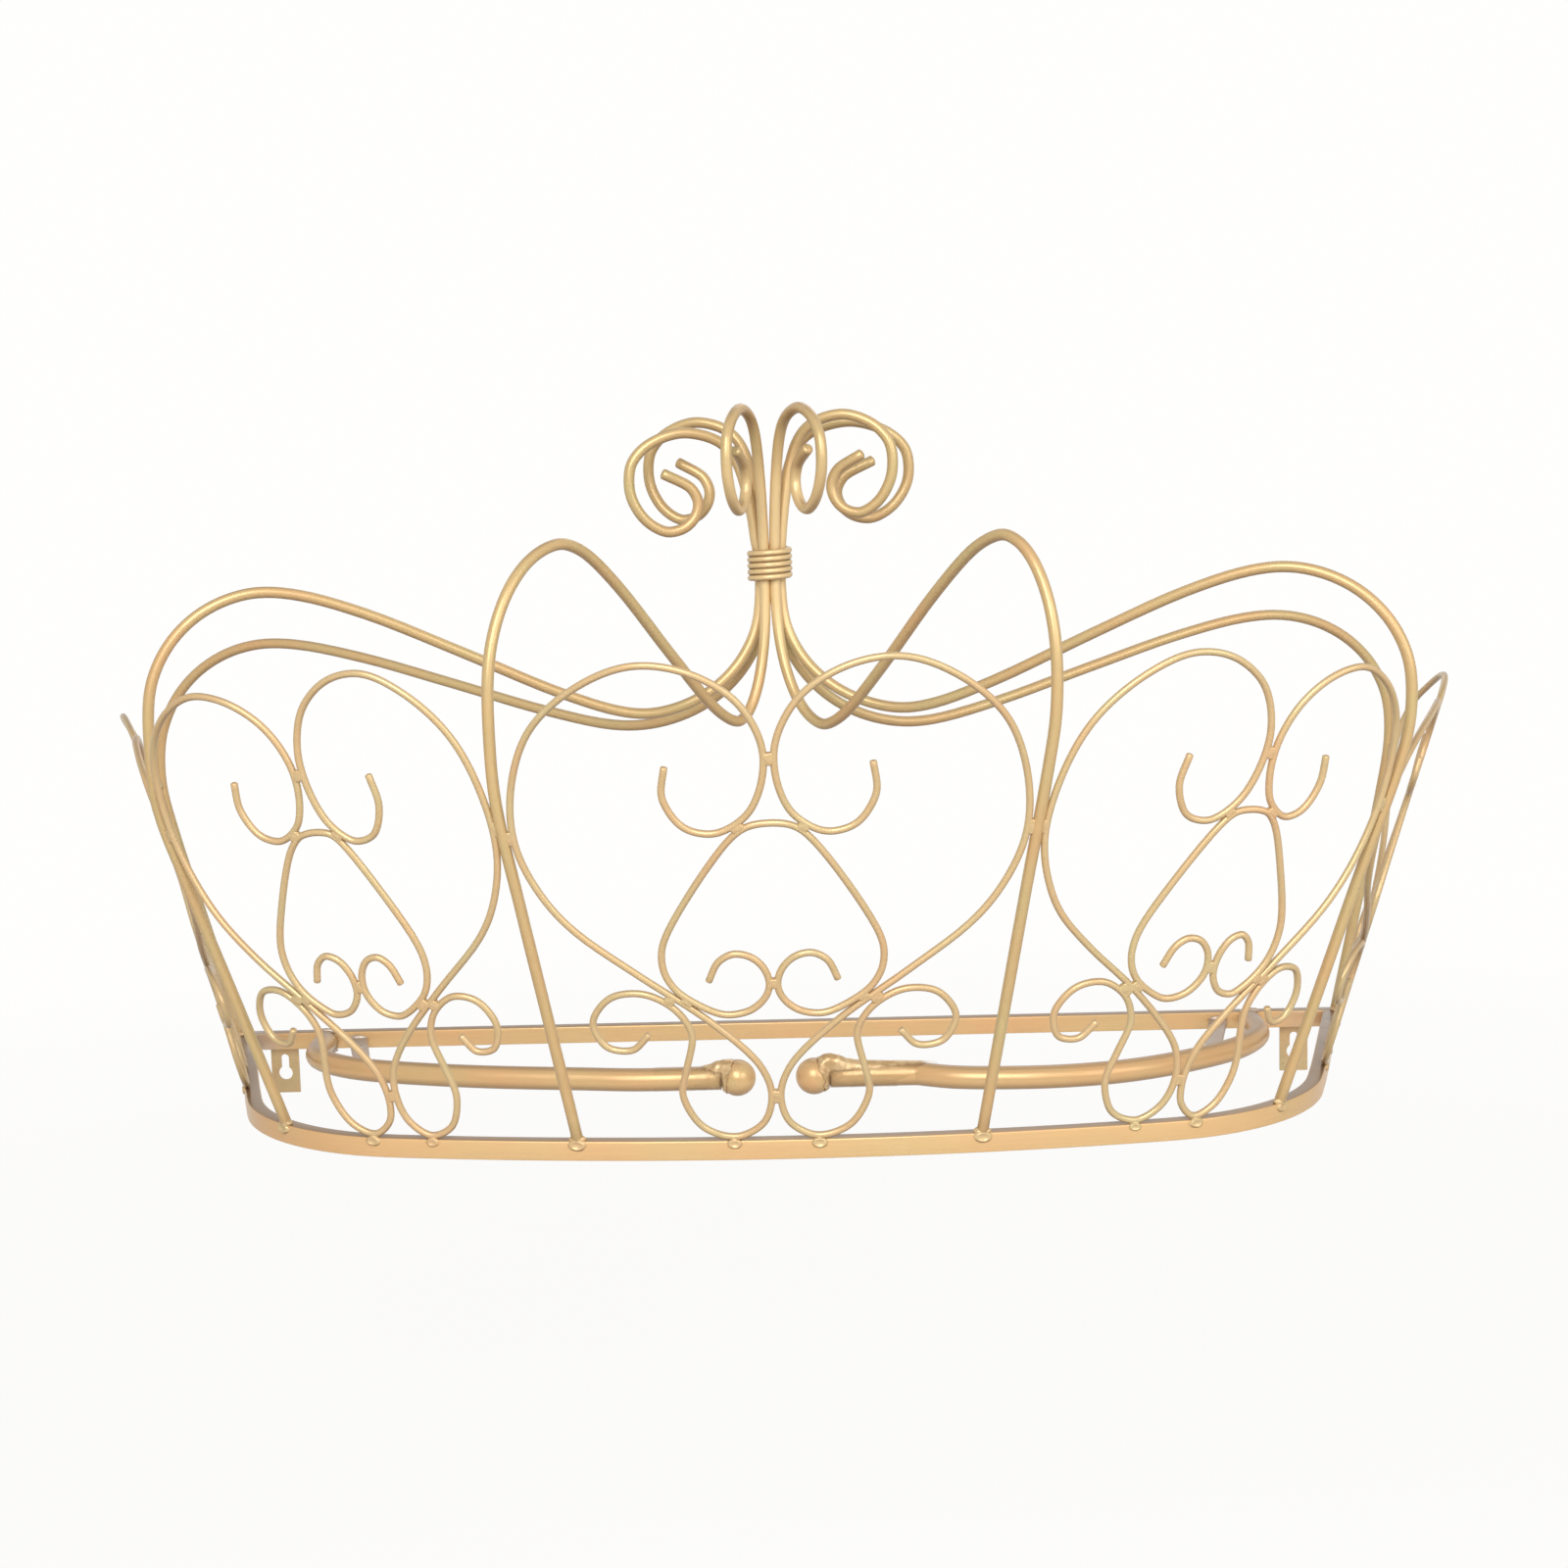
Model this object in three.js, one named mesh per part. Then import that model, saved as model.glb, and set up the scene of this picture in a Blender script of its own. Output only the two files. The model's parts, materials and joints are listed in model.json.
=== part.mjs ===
// Bed crown canopy: a half-round wall crown of welded rod and scrolled wire, with two curtain rods.
// Millimetres, X to the right, Y into the wall, Z up.
// The origin is the middle of the back bar's back face, which lies flat on the wall.

import * as THREE from "three";

// Frame: a straight bar on the wall and a band bent to a shallow D in front of it
const wallHalfWidth = 357;
const frameDepth = 285;
const frontRadius = 1180;
const cornerRadius = 127;
const sideFlare = THREE.MathUtils.degToRad(14);
const barHeight = 11;
const barThickness = 9;
const footInset = 1.5;

// Ribs: six round rods that gather in an upright bundle and end in curls
const ribDiameter = 6;
const bundleDepth = 142;
const bundleHeight = 307;
const curlHeight = 83;
const curlDrop = 56;
const curlReach = 74;
const frontRibDistance = 110;
const sideRibDistance = 290;
const backRibInset = 0.5;

// Scroll panels: two mirrored heart wires and a pear wire between neighbouring ribs
const wireDiameter = 3.6;
const panelHeight = 268;

// Binding: one wire wound round the bundle
const bindingWire = 3;
const bindingTurns = 5;
const bindingPitch = 3.5;
const bindingClearance = 0.5;

// Curtain rods, with a ball finial, a film sleeve and a strap each
const rodDiameter = 14;
const rodBore = 11.9;
const rodEndInsets = { left: 64, right: 54 };
const rodRun = 128;
const rodShift = -5;
const rodStraightRun = 12;
const ballDiameter = 22;
const ballGap = 24;
const spigotDiameter = 10.8;
const spigotLength = 10;
const sleeveLength = 40;
const sleeveWall = 0.8;
const sleeveClearance = 0.5;
const strapWidth = 12;
const strapThickness = 3;
const strapInset = 79;
const strapSlant = 15;

// Keyhole plates under the ends of the back bar
const plateWidth = 18;
const plateHeight = 30;
const plateThickness = 1.6;
const plateInset = 29;
const keyholeDiameter = 9;
const keyholeSlot = 5;
const keyholeLength = 17;
const keyholeMargin = 4.5;

// Gaps kept where the real pieces are welded or pressed together
const contactGap = 0.3;
const ribWireGap = 1;
const strapGap = 0.5;

// Facets: sides of a round section, and how far a path turns, or runs as a share of frameDepth, in a step
const wireSides = 6;
const tubeSides = 10;
const ballSides = 20;
const ballRings = 10;
const arcSteps = 8;
const windingSteps = 24;
const turnPerStep = THREE.MathUtils.degToRad(21);
const runPerStepShare = 0.25;

// Rib shapes: reach is a share of the way from the bundle out to the foot, height of bundleHeight.
// The shoulder is the outermost point, the peak the highest and the dip the lowest before the bundle.
// The lean of the straight foot is a share of the height.
const ribShares = {
  front_left: { leanShare: 0.265, shoulder: [1.312, 0.815], peak: [0.965, 1.068], dip: [0.16, 0.716] },
  front_right: { leanShare: 0.265, shoulder: [1.365, 0.844], peak: [1.13, 1.068], dip: [0.247, 0.711] },
  side_left: { leanShare: 0.33, shoulder: [1.215, 0.777], peak: [0.986, 0.99], dip: [0.247, 0.733] },
  side_right: { leanShare: 0.33, shoulder: [1.245, 0.777], peak: [1, 0.99], dip: [0.257, 0.733] },
  back_left: { leanShare: 0.27, shoulder: [1.115, 0.595], peak: [0.876, 0.85], dip: [0.245, 0.691] },
  back_right: { leanShare: 0.2, shoulder: [1.09, 0.623], peak: [0.855, 0.857], dip: [0.231, 0.686] },
};
const straightShare = 0.7;
const peakSwayShare = 0.25;
const dipSwayShare = 0.2;
const bendShare = 0.45;
const roundShare = 0.552;

// Curls on top of the bundle: reach is a share of curlReach, drop below the crest of curlDrop
const curlShares = [
  [0.03, 1.07], [0.05, 0.82], [0.09, 0.57], [0.14, 0.35], [0.22, 0.175], [0.33, 0.07], [0.45, 0.02],
  [0.56, 0], [0.67, 0.02], [0.78, 0.07], [0.895, 0.165], [0.975, 0.3], [1, 0.465], [0.985, 0.64],
  [0.92, 0.81], [0.835, 0.925], [0.71, 1], [0.58, 0.965], [0.49, 0.85], [0.465, 0.71], [0.515, 0.57],
  [0.61, 0.485], [0.73, 0.41],
];
// Each curl stands to its own side, and its crest is a little higher or its reach longer than the next
const curlTable = {
  front_left: { bearing: -106, reachShare: 0.87, crestShare: 1.08 },
  front_right: { bearing: -66, reachShare: 0.94, crestShare: 1.08 },
  side_left: { bearing: -168, reachShare: 1, crestShare: 0.93 },
  side_right: { bearing: -12, reachShare: 0.905, crestShare: 1.03 },
  back_left: { bearing: 168, reachShare: 0.92, crestShare: 1 },
  back_right: { bearing: 12, reachShare: 1.09, crestShare: 0.98 },
};

// Heart wire, from its upper end to its lower end: across is a share of the half width of a panel,
// up of panelHeight. The mirror wire of the pair touches it where across is 0.
const heartShares = [
  [0.388, 0.791], [0.399, 0.727], [0.321, 0.666], [0.201, 0.652], [0.075, 0.69], [0.012, 0.765],
  [0.016, 0.843], [0.112, 0.929], [0.298, 0.987], [0.507, 1], [0.73, 0.955], [0.917, 0.865], [1, 0.735],
  [0.984, 0.612], [0.835, 0.481], [0.581, 0.376], [0.358, 0.3], [0.172, 0.224], [0.046, 0.156],
  [0.004, 0.093], [0.038, 0.031], [0.149, 0], [0.283, 0.022], [0.362, 0.093], [0.336, 0.168],
  [0.317, 0.227], [0.38, 0.281], [0.507, 0.315], [0.641, 0.306], [0.715, 0.253], [0.663, 0.201],
  [0.559, 0.194], [0.492, 0.227],
];
// Half of the pear wire, from its top to its end inside the pear, in the same shares
const pearShares = [
  [0.067, 0.666], [0.164, 0.627], [0.268, 0.553], [0.358, 0.481], [0.418, 0.414], [0.414, 0.362],
  [0.365, 0.321], [0.276, 0.289], [0.179, 0.27], [0.082, 0.278], [0.019, 0.306], [0.002, 0.335],
  [0.023, 0.369], [0.075, 0.393], [0.142, 0.399], [0.201, 0.382], [0.239, 0.343],
];
// Height above which the lobe of a heart is drawn, and below which a heart is clear of the rib beside it
const lobeStartShare = 0.63;
const clearBelowShare = 0.4;
// The panels were bent by hand: where the line between the hearts stands at the band and at panelHeight,
// how far a panel bulges out between its ribs, near its left and near its right rib, how wide its pear
// is, how tall its wires are, and how tall the lobes of its hearts are
const panelTable = {
  front: {
    seamShares: [0.495, 0.505],
    bulgeShares: [0, 0],
    pearShare: 1.01,
    heightShare: 0.99,
    lobeShares: { left: 0.96, right: 0.98 },
  },
  left_corner: {
    seamShares: [0.46, 0.54],
    bulgeShares: [0, 0],
    pearShare: 0.96,
    heightShare: 0.965,
    lobeShares: { left: 0.87, right: 1 },
  },
  right_corner: {
    seamShares: [0.57, 0.55],
    bulgeShares: [0, 0],
    pearShare: 0.97,
    heightShare: 0.965,
    lobeShares: { left: 1, right: 0.87 },
  },
  left_side: {
    seamShares: [0.5, 0.5],
    bulgeShares: [0.072, -0.144],
    pearShare: 0.955,
    heightShare: 0.93,
    lobeShares: { left: 0.61, right: 0.59 },
  },
  right_side: {
    seamShares: [0.5, 0.5],
    bulgeShares: [-0.05, 0.15],
    pearShare: 0.97,
    heightShare: 0.93,
    lobeShares: { left: 0.62, right: 0.67 },
  },
};

// Centre line of each curtain rod, bent by hand, from the back bar to the straight end at the ball:
// across is a share of the way from the straight end out to the back bar, forward of rodRun
const rodShares = {
  left: [
    [1, 0.2], [1, 0.35], [0.97, 0.475], [0.9, 0.6], [0.81, 0.695], [0.635, 0.8], [0.486, 0.866],
    [0.342, 0.912], [0.169, 0.957], [0.06, 0.985],
  ],
  right: [
    [1, 0.2], [1, 0.35], [0.963, 0.515], [0.904, 0.654], [0.835, 0.758], [0.75, 0.87], [0.658, 0.965],
    [0.574, 1.03], [0.491, 1.073], [0.328, 1.112], [0.115, 1.085], [0.04, 1.035],
  ],
};

// Values that follow from the sizes above
const ribRadius = ribDiameter / 2;
const wireRadius = wireDiameter / 2;
const rodRadius = rodDiameter / 2;
const ballRadius = ballDiameter / 2;
const runPerStep = frameDepth * runPerStepShare;
const bandTop = barHeight / 2;
const barFront = -barThickness - contactGap;
const axis = new THREE.Vector2(0, -bundleDepth);
const bundleRadius = ribDiameter + contactGap;
const windingRadius = bundleRadius + ribRadius + bindingClearance + bindingWire / 2;

// Finishes
const satinGold = { color: 0xd9b074, roughness: 0.38, metalness: 0.85 };
const paleGold = { color: 0xe3be84, roughness: 0.33, metalness: 0.85 };
const rubbedGold = { color: 0xcbb39b, roughness: 0.5, metalness: 0.6 };
const clearFilm = { color: 0xdcc196, roughness: 0.3, metalness: 0.3 };

const crown = new THREE.Group();

// A smooth path whose stations lie closer together where it turns more
class BentPath extends THREE.CatmullRomCurve3 {
  constructor(points) {
    super(points, false, "centripetal");
    const samples = points.length * arcSteps;
    const effort = [0];
    let place = this.getPoint(0);
    let heading = this.getTangent(0);
    for (let i = 1; i <= samples; i++) {
      const nextPlace = this.getPoint(i / samples);
      const nextHeading = this.getTangent(i / samples);
      const turn = heading.angleTo(nextHeading) / turnPerStep;
      const run = place.distanceTo(nextPlace) / runPerStep;
      effort.push(effort[i - 1] + turn + run);
      place = nextPlace;
      heading = nextHeading;
    }
    this.effort = effort;
    this.steps = Math.ceil(effort[samples]);
  }

  getUtoTmapping(u) {
    const last = this.effort.length - 1;
    const target = u * this.effort[last];
    const after = Math.max(1, this.effort.findIndex((value) => value >= target));
    const before = this.effort[after - 1];
    return (after - 1 + (target - before) / (this.effort[after] - before)) / last;
  }
}

// A helix of the given radius and pitch about the Z axis
class Winding extends THREE.Curve {
  constructor(radius, pitch, turns) {
    super();
    this.radius = radius;
    this.pitch = pitch;
    this.turns = turns;
  }

  getPoint(t, target = new THREE.Vector3()) {
    const angle = 2 * Math.PI * this.turns * t;
    const height = this.pitch * this.turns * (t - 1 / 2);
    return target.set(this.radius * Math.cos(angle), this.radius * Math.sin(angle), height);
  }
}

// A round outline as a polygon
function roundSection(radius, sides, Outline = THREE.Shape) {
  const corners = Array.from({ length: sides }, (_, i) => {
    const angle = (2 * Math.PI * i) / sides;
    return new THREE.Vector2(radius * Math.cos(angle), radius * Math.sin(angle));
  });
  return new Outline(corners);
}

// Add a named piece with its own material to the crown
function addPiece(name, geometry, finish) {
  const mesh = new THREE.Mesh(geometry, new THREE.MeshStandardMaterial(finish));
  mesh.name = name;
  crown.add(mesh);
  return mesh;
}

// Round rod or wire along a path, with flat cut ends
function roundBar(path, steps, diameter, sides) {
  const section = roundSection(diameter / 2, sides);
  return new THREE.ExtrudeGeometry(section, { steps, extrudePath: path, bevelEnabled: false });
}

// Outer line of the band

// Centre of the corner arc, which touches both the front arc and the side line
const sideDirection = new THREE.Vector2(-Math.sin(sideFlare), -Math.cos(sideFlare));
const sideInward = new THREE.Vector2(-Math.cos(sideFlare), Math.sin(sideFlare));
const frontCentre = new THREE.Vector2(0, frontRadius - frameDepth);
const wallEnd = new THREE.Vector2(wallHalfWidth, 0);
const sideEnd = wallEnd.addScaledVector(sideDirection, -barFront / Math.cos(sideFlare));
const offsetSide = sideEnd.clone().addScaledVector(sideInward, cornerRadius);
const towardsSide = offsetSide.clone().sub(frontCentre);
const along = towardsSide.dot(sideDirection);
const beyond = towardsSide.lengthSq() - (frontRadius - cornerRadius) ** 2;
const sideLength = -along + Math.sqrt(along ** 2 - beyond);
const cornerCentre = offsetSide.clone().addScaledVector(sideDirection, sideLength);

// Bearings of the arcs from straight ahead, and the length of each stretch of the outer line
const frontBearing = Math.atan2(cornerCentre.x, frontCentre.y - cornerCentre.y);
const sideBearing = Math.PI / 2 - sideFlare;
const frontLength = frontRadius * frontBearing;
const cornerLength = cornerRadius * (sideBearing - frontBearing);
const lineLength = frontLength + cornerLength + sideLength;

function arcPoint(centre, radius, bearing) {
  return new THREE.Vector2(centre.x + radius * Math.sin(bearing), centre.y - radius * Math.cos(bearing));
}

// Point of the band's line at a distance from the middle of the front, set in by inset
function bandPoint(distance, inset = 0) {
  const run = Math.abs(distance);
  let point;
  if (run <= frontLength) {
    point = arcPoint(frontCentre, frontRadius - inset, run / frontRadius);
  } else if (run <= frontLength + cornerLength) {
    const bearing = frontBearing + (run - frontLength) / cornerRadius;
    point = arcPoint(cornerCentre, cornerRadius - inset, bearing);
  } else {
    // The end is cut parallel to the back bar
    const fromEnd = Math.max(lineLength - run, inset * Math.tan(sideFlare));
    point = sideEnd.clone().addScaledVector(sideDirection, fromEnd);
    point.addScaledVector(sideInward, inset);
  }
  return new THREE.Vector2(Math.sign(distance) * point.x, point.y);
}

// Distances along the band at which its facets meet
function bandStations() {
  const front = Array.from({ length: arcSteps }, (_, i) => (frontLength * (i + 1 / 2)) / arcSteps);
  const cornerShares = Array.from({ length: arcSteps + 1 }, (_, i) => i / arcSteps);
  const corner = cornerShares.map((share) => frontLength + cornerLength * share);
  const right = [...front, ...corner, lineLength];
  return [...right.map((distance) => -distance).reverse(), ...right];
}

const stations = bandStations();
const bandOutline = [
  ...stations.map((distance) => bandPoint(distance)),
  ...stations.map((distance) => bandPoint(distance, barThickness)).reverse(),
];
const bandShape = new THREE.Shape(bandOutline);
const bandGeometry = new THREE.ExtrudeGeometry(bandShape, { depth: barHeight, bevelEnabled: false });
addPiece("front_band", bandGeometry, satinGold).position.z = -barHeight / 2;

const barGeometry = new THREE.BoxGeometry(2 * wallHalfWidth, barThickness, barHeight);
addPiece("back_bar", barGeometry, satinGold).position.y = -barThickness / 2;

// Ribs

const ribPairs = { front: frontRibDistance, side: sideRibDistance, back: lineLength - backRibInset };
const sides = { left: -1, right: 1 };
const bundleBearings = { front: -60, side: 0, back: 60 };

// Place of a rib in the bundle, which is a hexagon seen from above
function bundleSpot(pair, side) {
  const bearing = THREE.MathUtils.degToRad(bundleBearings[pair]);
  const across = side * bundleRadius * Math.cos(bearing);
  return new THREE.Vector2(across, bundleRadius * Math.sin(bearing)).add(axis);
}

// Cubic between two places with the tangent handles given, without its first point
function bend(start, startHandle, endHandle, end) {
  const curve = new THREE.CubicBezierCurve(start, startHandle, endHandle, end);
  return curve.getPoints(arcSteps).slice(1);
}

// Straight foot, shoulder, peak, dip and bundle of a rib, as reach from the bundle and height
function ribProfile(shape, reach) {
  const lean = shape.leanShare;
  const lift = ribRadius * Math.sin(Math.atan(lean)) + contactGap;
  const at = (x, y) => new THREE.Vector2(x, y);
  const foot = at(reach, bandTop + lift);
  const places = [shape.shoulder, shape.peak, shape.dip];
  const [shoulder, peak, dip] = places.map(([across, up]) => at(reach * across, bundleHeight * up));
  const bundle = at(0, bundleHeight - bindingTurns * bindingPitch);
  const bundleTop = at(0, bundleHeight + (bindingTurns * bindingPitch) / 2);
  const run = peak.x - dip.x;
  const straightHeight = (shoulder.y - bandTop) * straightShare;
  const straightEnd = at(reach + lean * straightHeight, bandTop + straightHeight);
  const rise = (shoulder.y - straightEnd.y) * bendShare;
  const straight = at(straightEnd.x + lean * rise, straightEnd.y + rise);
  const straightFoot = [
    foot,
    foot.clone().lerp(straightEnd, 1 / 2),
    straightEnd,
    ...bend(straightEnd, straight, at(shoulder.x, shoulder.y - rise), shoulder),
  ];
  const arch = [
    ...bend(
      shoulder,
      at(shoulder.x, shoulder.y + (peak.y - shoulder.y) * roundShare),
      at(peak.x + (shoulder.x - peak.x) * roundShare, peak.y),
      peak,
    ),
    ...bend(peak, at(peak.x - run * peakSwayShare, peak.y), at(dip.x + run * dipSwayShare, dip.y), dip),
    ...bend(
      dip,
      at(dip.x * (1 - roundShare), dip.y),
      at(bundle.x, bundle.y + (dip.y - bundle.y) * roundShare),
      bundle,
    ),
    bundleTop,
  ];
  return { foot: straightFoot, arch };
}

// A place in an upright plane through a spot
function upright(spot, direction, reach, height) {
  return new THREE.Vector3(spot.x + direction.x * reach, spot.y + direction.y * reach, height);
}

// Direction in which the foot of a rib leans, seen from above: the back ribs lean along the wall
function leanDirection(pair, spot, foot) {
  return pair === "back" ? new THREE.Vector2(Math.sign(foot.x), 0) : foot.clone().sub(spot).normalize();
}

const ribPoints = {};
for (const [pair, distance] of Object.entries(ribPairs)) {
  for (const [sideName, side] of Object.entries(sides)) {
    const key = `${pair}_${sideName}`;
    const spot = bundleSpot(pair, side);
    const foot = bandPoint(side * distance, footInset);
    const reach = foot.distanceTo(spot);
    const shoulderReach = reach * ribShares[key].shoulder[0];
    const sideways = leanDirection(pair, spot, foot);
    const shoulder = foot.clone().addScaledVector(sideways, shoulderReach - reach);
    const inward = shoulder.clone().sub(spot).divideScalar(shoulderReach);
    const profile = ribProfile(ribShares[key], reach);
    const curl = curlTable[key];
    const bearing = THREE.MathUtils.degToRad(curl.bearing);
    const crest = bundleHeight + curlHeight * curl.crestShare;
    const curlDirection = new THREE.Vector2(Math.cos(bearing), Math.sin(bearing));
    const points = [
      ...profile.foot.map((place) => upright(foot, sideways, place.x - reach, place.y)),
      ...profile.arch.map((place) => upright(spot, inward, place.x, place.y)),
      ...curlShares.map(([across, drop]) =>
        upright(spot, curlDirection, curlReach * curl.reachShare * across, crest - curlDrop * drop),
      ),
    ];
    ribPoints[key] = points;
    const path = new BentPath(points);
    addPiece(`rib_${key}`, roundBar(path, path.steps, ribDiameter, wireSides), satinGold);
  }
}

// Scroll panels

// Point of the lower part of a rib at a height above the band
function ribPoint(key, height) {
  const points = ribPoints[key];
  const after = points.findIndex((point) => point.z >= bandTop + height);
  const [low, high] = [points[after - 1], points[after]];
  return low.clone().lerp(high, (bandTop + height - low.z) / (high.z - low.z));
}

// How far a place lies between two distances along the band, from 0 to 1
function spanShare(distance, start, end) {
  return THREE.MathUtils.clamp((Math.abs(distance) - start) / (end - start), 0, 1);
}

// Point of the flared wall of the crown at a distance along the band and a height above the band
function flaredPoint(distance, height, extraLean = 0) {
  const point = bandPoint(distance, footInset);
  const wallShare = spanShare(distance, ribPairs.side, ribPairs.back);
  const outward = leanDirection("side", axis, point);
  outward.lerp(leanDirection("back", axis, point), wallShare).normalize();
  const sideName = distance < 0 ? "left" : "right";
  const leanOf = (pair) => ribShares[`${pair}_${sideName}`].leanShare;
  const [front, side, back] = Object.keys(ribPairs).map(leanOf);
  const cornerShare = spanShare(distance, ribPairs.front, ribPairs.side);
  const cornerLean = THREE.MathUtils.lerp(front, side, cornerShare);
  const lean = THREE.MathUtils.lerp(cornerLean, back, wallShare);
  point.addScaledVector(outward, (lean + extraLean) * height);
  return new THREE.Vector3(point.x, point.y, bandTop + height);
}

const seam = wireRadius + contactGap / 2;
const lowestWire = contactGap + wireRadius;

// The ribs at the left and right of each panel
const panels = {
  front: ["front_left", "front_right"],
  left_corner: ["side_left", "front_left"],
  right_corner: ["front_right", "side_right"],
  left_side: ["back_left", "side_left"],
  right_side: ["side_right", "back_right"],
};

// Turns shares into points of the wires on one side of the line between the hearts
function panelMapper(panelName, handName) {
  const [fromRib, toRib] = panels[panelName];
  const [from, to] = [fromRib, toRib].map(ribDistance);
  const { seamShares, bulgeShares, heightShare, lobeShares } = panelTable[panelName];
  const { lerp } = THREE.MathUtils;
  const seamAt = (height) => lerp(from, to, lerp(...seamShares, height / panelHeight));
  const heightAt = (up) => {
    const level = Math.min(up, lobeStartShare) + Math.max(up - lobeStartShare, 0) * lobeShares[handName];
    return lowestWire + panelHeight * heightShare * level;
  };
  const surfacePoint = (distance, height) => {
    const place = (distance - from) / (to - from);
    return flaredPoint(distance, height, 4 * lerp(...bulgeShares, place) * place * (1 - place));
  };
  // The half width at which the heart just touches the rib beside it
  const rib = handName === "left" ? fromRib : toRib;
  const widths = heartShares
    .filter(([, up]) => up > clearBelowShare)
    .map(([across, up]) => {
      const height = heightAt(up);
      const ribWidth = ribPoint(rib, height).distanceTo(surfacePoint(seamAt(height), height));
      return (ribWidth - ribRadius - wireRadius - ribWireGap - seam) / across;
    });
  const halfWidth = Math.min(...widths);
  return ([across, up]) => {
    const height = heightAt(up);
    const start = seamAt(height);
    const offset = seam + halfWidth * across;
    // Step along the surface until the point is as far from the line between the hearts as it should be
    let step = sides[handName] * offset;
    for (let round = 0; round < arcSteps; round++) {
      step *= offset / surfacePoint(start, height).distanceTo(surfacePoint(start + step, height));
    }
    return surfacePoint(start + step, height);
  };
}

// Distance along the band at which a rib stands
function ribDistance(key) {
  const [pair, sideName] = key.split("_");
  return sides[sideName] * ribPairs[pair];
}

for (const panelName of Object.keys(panels)) {
  const [toLeft, toRight] = Object.keys(sides).map((handName) => panelMapper(panelName, handName));
  for (const [handName, toPoint] of Object.entries({ left: toLeft, right: toRight })) {
    const path = new BentPath(heartShares.map(toPoint));
    const wire = roundBar(path, path.steps, wireDiameter, wireSides);
    addPiece(`${panelName}_heart_${handName}`, wire, paleGold);
  }
  const pearPoints = pearShares.map(([across, up]) => [across * panelTable[panelName].pearShare, up]);
  const leftHalf = pearPoints.map(toLeft).reverse();
  const rightHalf = pearPoints.map(toRight);
  const path = new BentPath([...leftHalf, ...rightHalf]);
  addPiece(`${panelName}_pear`, roundBar(path, path.steps, wireDiameter, wireSides), paleGold);
}

// Binding

const winding = new Winding(windingRadius, bindingPitch, bindingTurns);
const bindingGeometry = roundBar(winding, bindingTurns * windingSteps, bindingWire, wireSides);
addPiece("binding", bindingGeometry, satinGold).position.set(axis.x, axis.y, bundleHeight);

// Least gap between one turn of the binding and the next
const windingPoints = winding.getPoints(bindingTurns * windingSteps);
let leastGap = Infinity;
windingPoints.forEach((point, i) => {
  for (const other of windingPoints.slice(i + windingSteps / 2)) {
    leastGap = Math.min(leastGap, point.distanceTo(other) - bindingWire);
  }
});
console.log(`binding, least gap to itself: ${leastGap.toFixed(2)} mm`);

// Curtain rods and their fittings

const ballCentre = (ballGap + ballDiameter) / 2;
const rodTip = ballCentre + Math.sqrt(ballRadius ** 2 - (spigotDiameter / 2) ** 2) + contactGap;

// Centre line of a rod, from the back bar to its tip, which is straight under the film sleeve
function rodPath(sideName) {
  const sleeveEnd = rodTip + sleeveLength;
  const straightStart = sleeveEnd + rodStraightRun;
  const rodEnd = wallHalfWidth - rodEndInsets[sideName];
  const acrossAt = (share) => THREE.MathUtils.lerp(straightStart, rodEnd, share);
  const points = [
    [rodEnd, barFront],
    ...rodShares[sideName].map(([across, forward]) => [acrossAt(across), -rodRun * forward]),
    [straightStart, -rodRun],
    [sleeveEnd, -rodRun],
    [rodTip, -rodRun],
  ];
  return new BentPath(points.map(([x, y]) => new THREE.Vector3(rodShift + sides[sideName] * x, y, 0)));
}

// Depth of the rod's near side at a place across, where a strap meets it
function rodBack(path, across) {
  const line = path.getSpacedPoints(path.steps);
  const after = line.findIndex((point) => Math.abs(point.x) < Math.abs(across));
  const [outer, inner] = [line[after - 1], line[after]];
  const slope = (outer.y - inner.y) / (outer.x - inner.x);
  const centre = inner.y + slope * (across - inner.x);
  return centre + (rodRadius + strapGap) * Math.hypot(1, slope);
}

// Ball with a spigot that plugs into the rod, about the Y axis, with the spigot towards +Y
function finialGeometry() {
  const spigotRadius = spigotDiameter / 2;
  const neckAngle = Math.PI - Math.asin(spigotRadius / ballRadius);
  const outline = Array.from({ length: ballRings + 1 }, (_, i) => {
    const angle = (neckAngle * i) / ballRings;
    return new THREE.Vector2(ballRadius * Math.sin(angle), -ballRadius * Math.cos(angle));
  });
  const spigotEnd = rodTip - ballCentre + spigotLength;
  outline[0].x = 0;
  outline.push(new THREE.Vector2(spigotRadius, spigotEnd), new THREE.Vector2(0, spigotEnd));
  return new THREE.LatheGeometry(outline, ballSides);
}

// Film sleeve round the rod, about the Y axis
function sleeveGeometry() {
  const inner = rodRadius + sleeveClearance;
  const outer = inner + sleeveWall;
  const outline = [[inner, 0], [outer, 0], [outer, sleeveLength], [inner, sleeveLength], [inner, 0]];
  return new THREE.LatheGeometry(outline.map(([x, y]) => new THREE.Vector2(x, y)), ballSides);
}

// Flat strap that slants inward from the back bar to the rod, cut to the rod's line
function strapGeometry(path, side) {
  const middle = wallHalfWidth - strapInset;
  const [inner, outer] = [middle - strapWidth / 2, middle + strapWidth / 2];
  const corners = [
    [side * inner, barFront],
    [side * outer, barFront],
    [side * (outer - strapSlant), rodBack(path, side * (outer - strapSlant))],
    [side * (inner - strapSlant), rodBack(path, side * (inner - strapSlant))],
  ];
  const outline = new THREE.Shape(corners.map(([x, y]) => new THREE.Vector2(x, y)));
  return new THREE.ExtrudeGeometry(outline, { depth: strapThickness, bevelEnabled: false });
}

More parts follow.
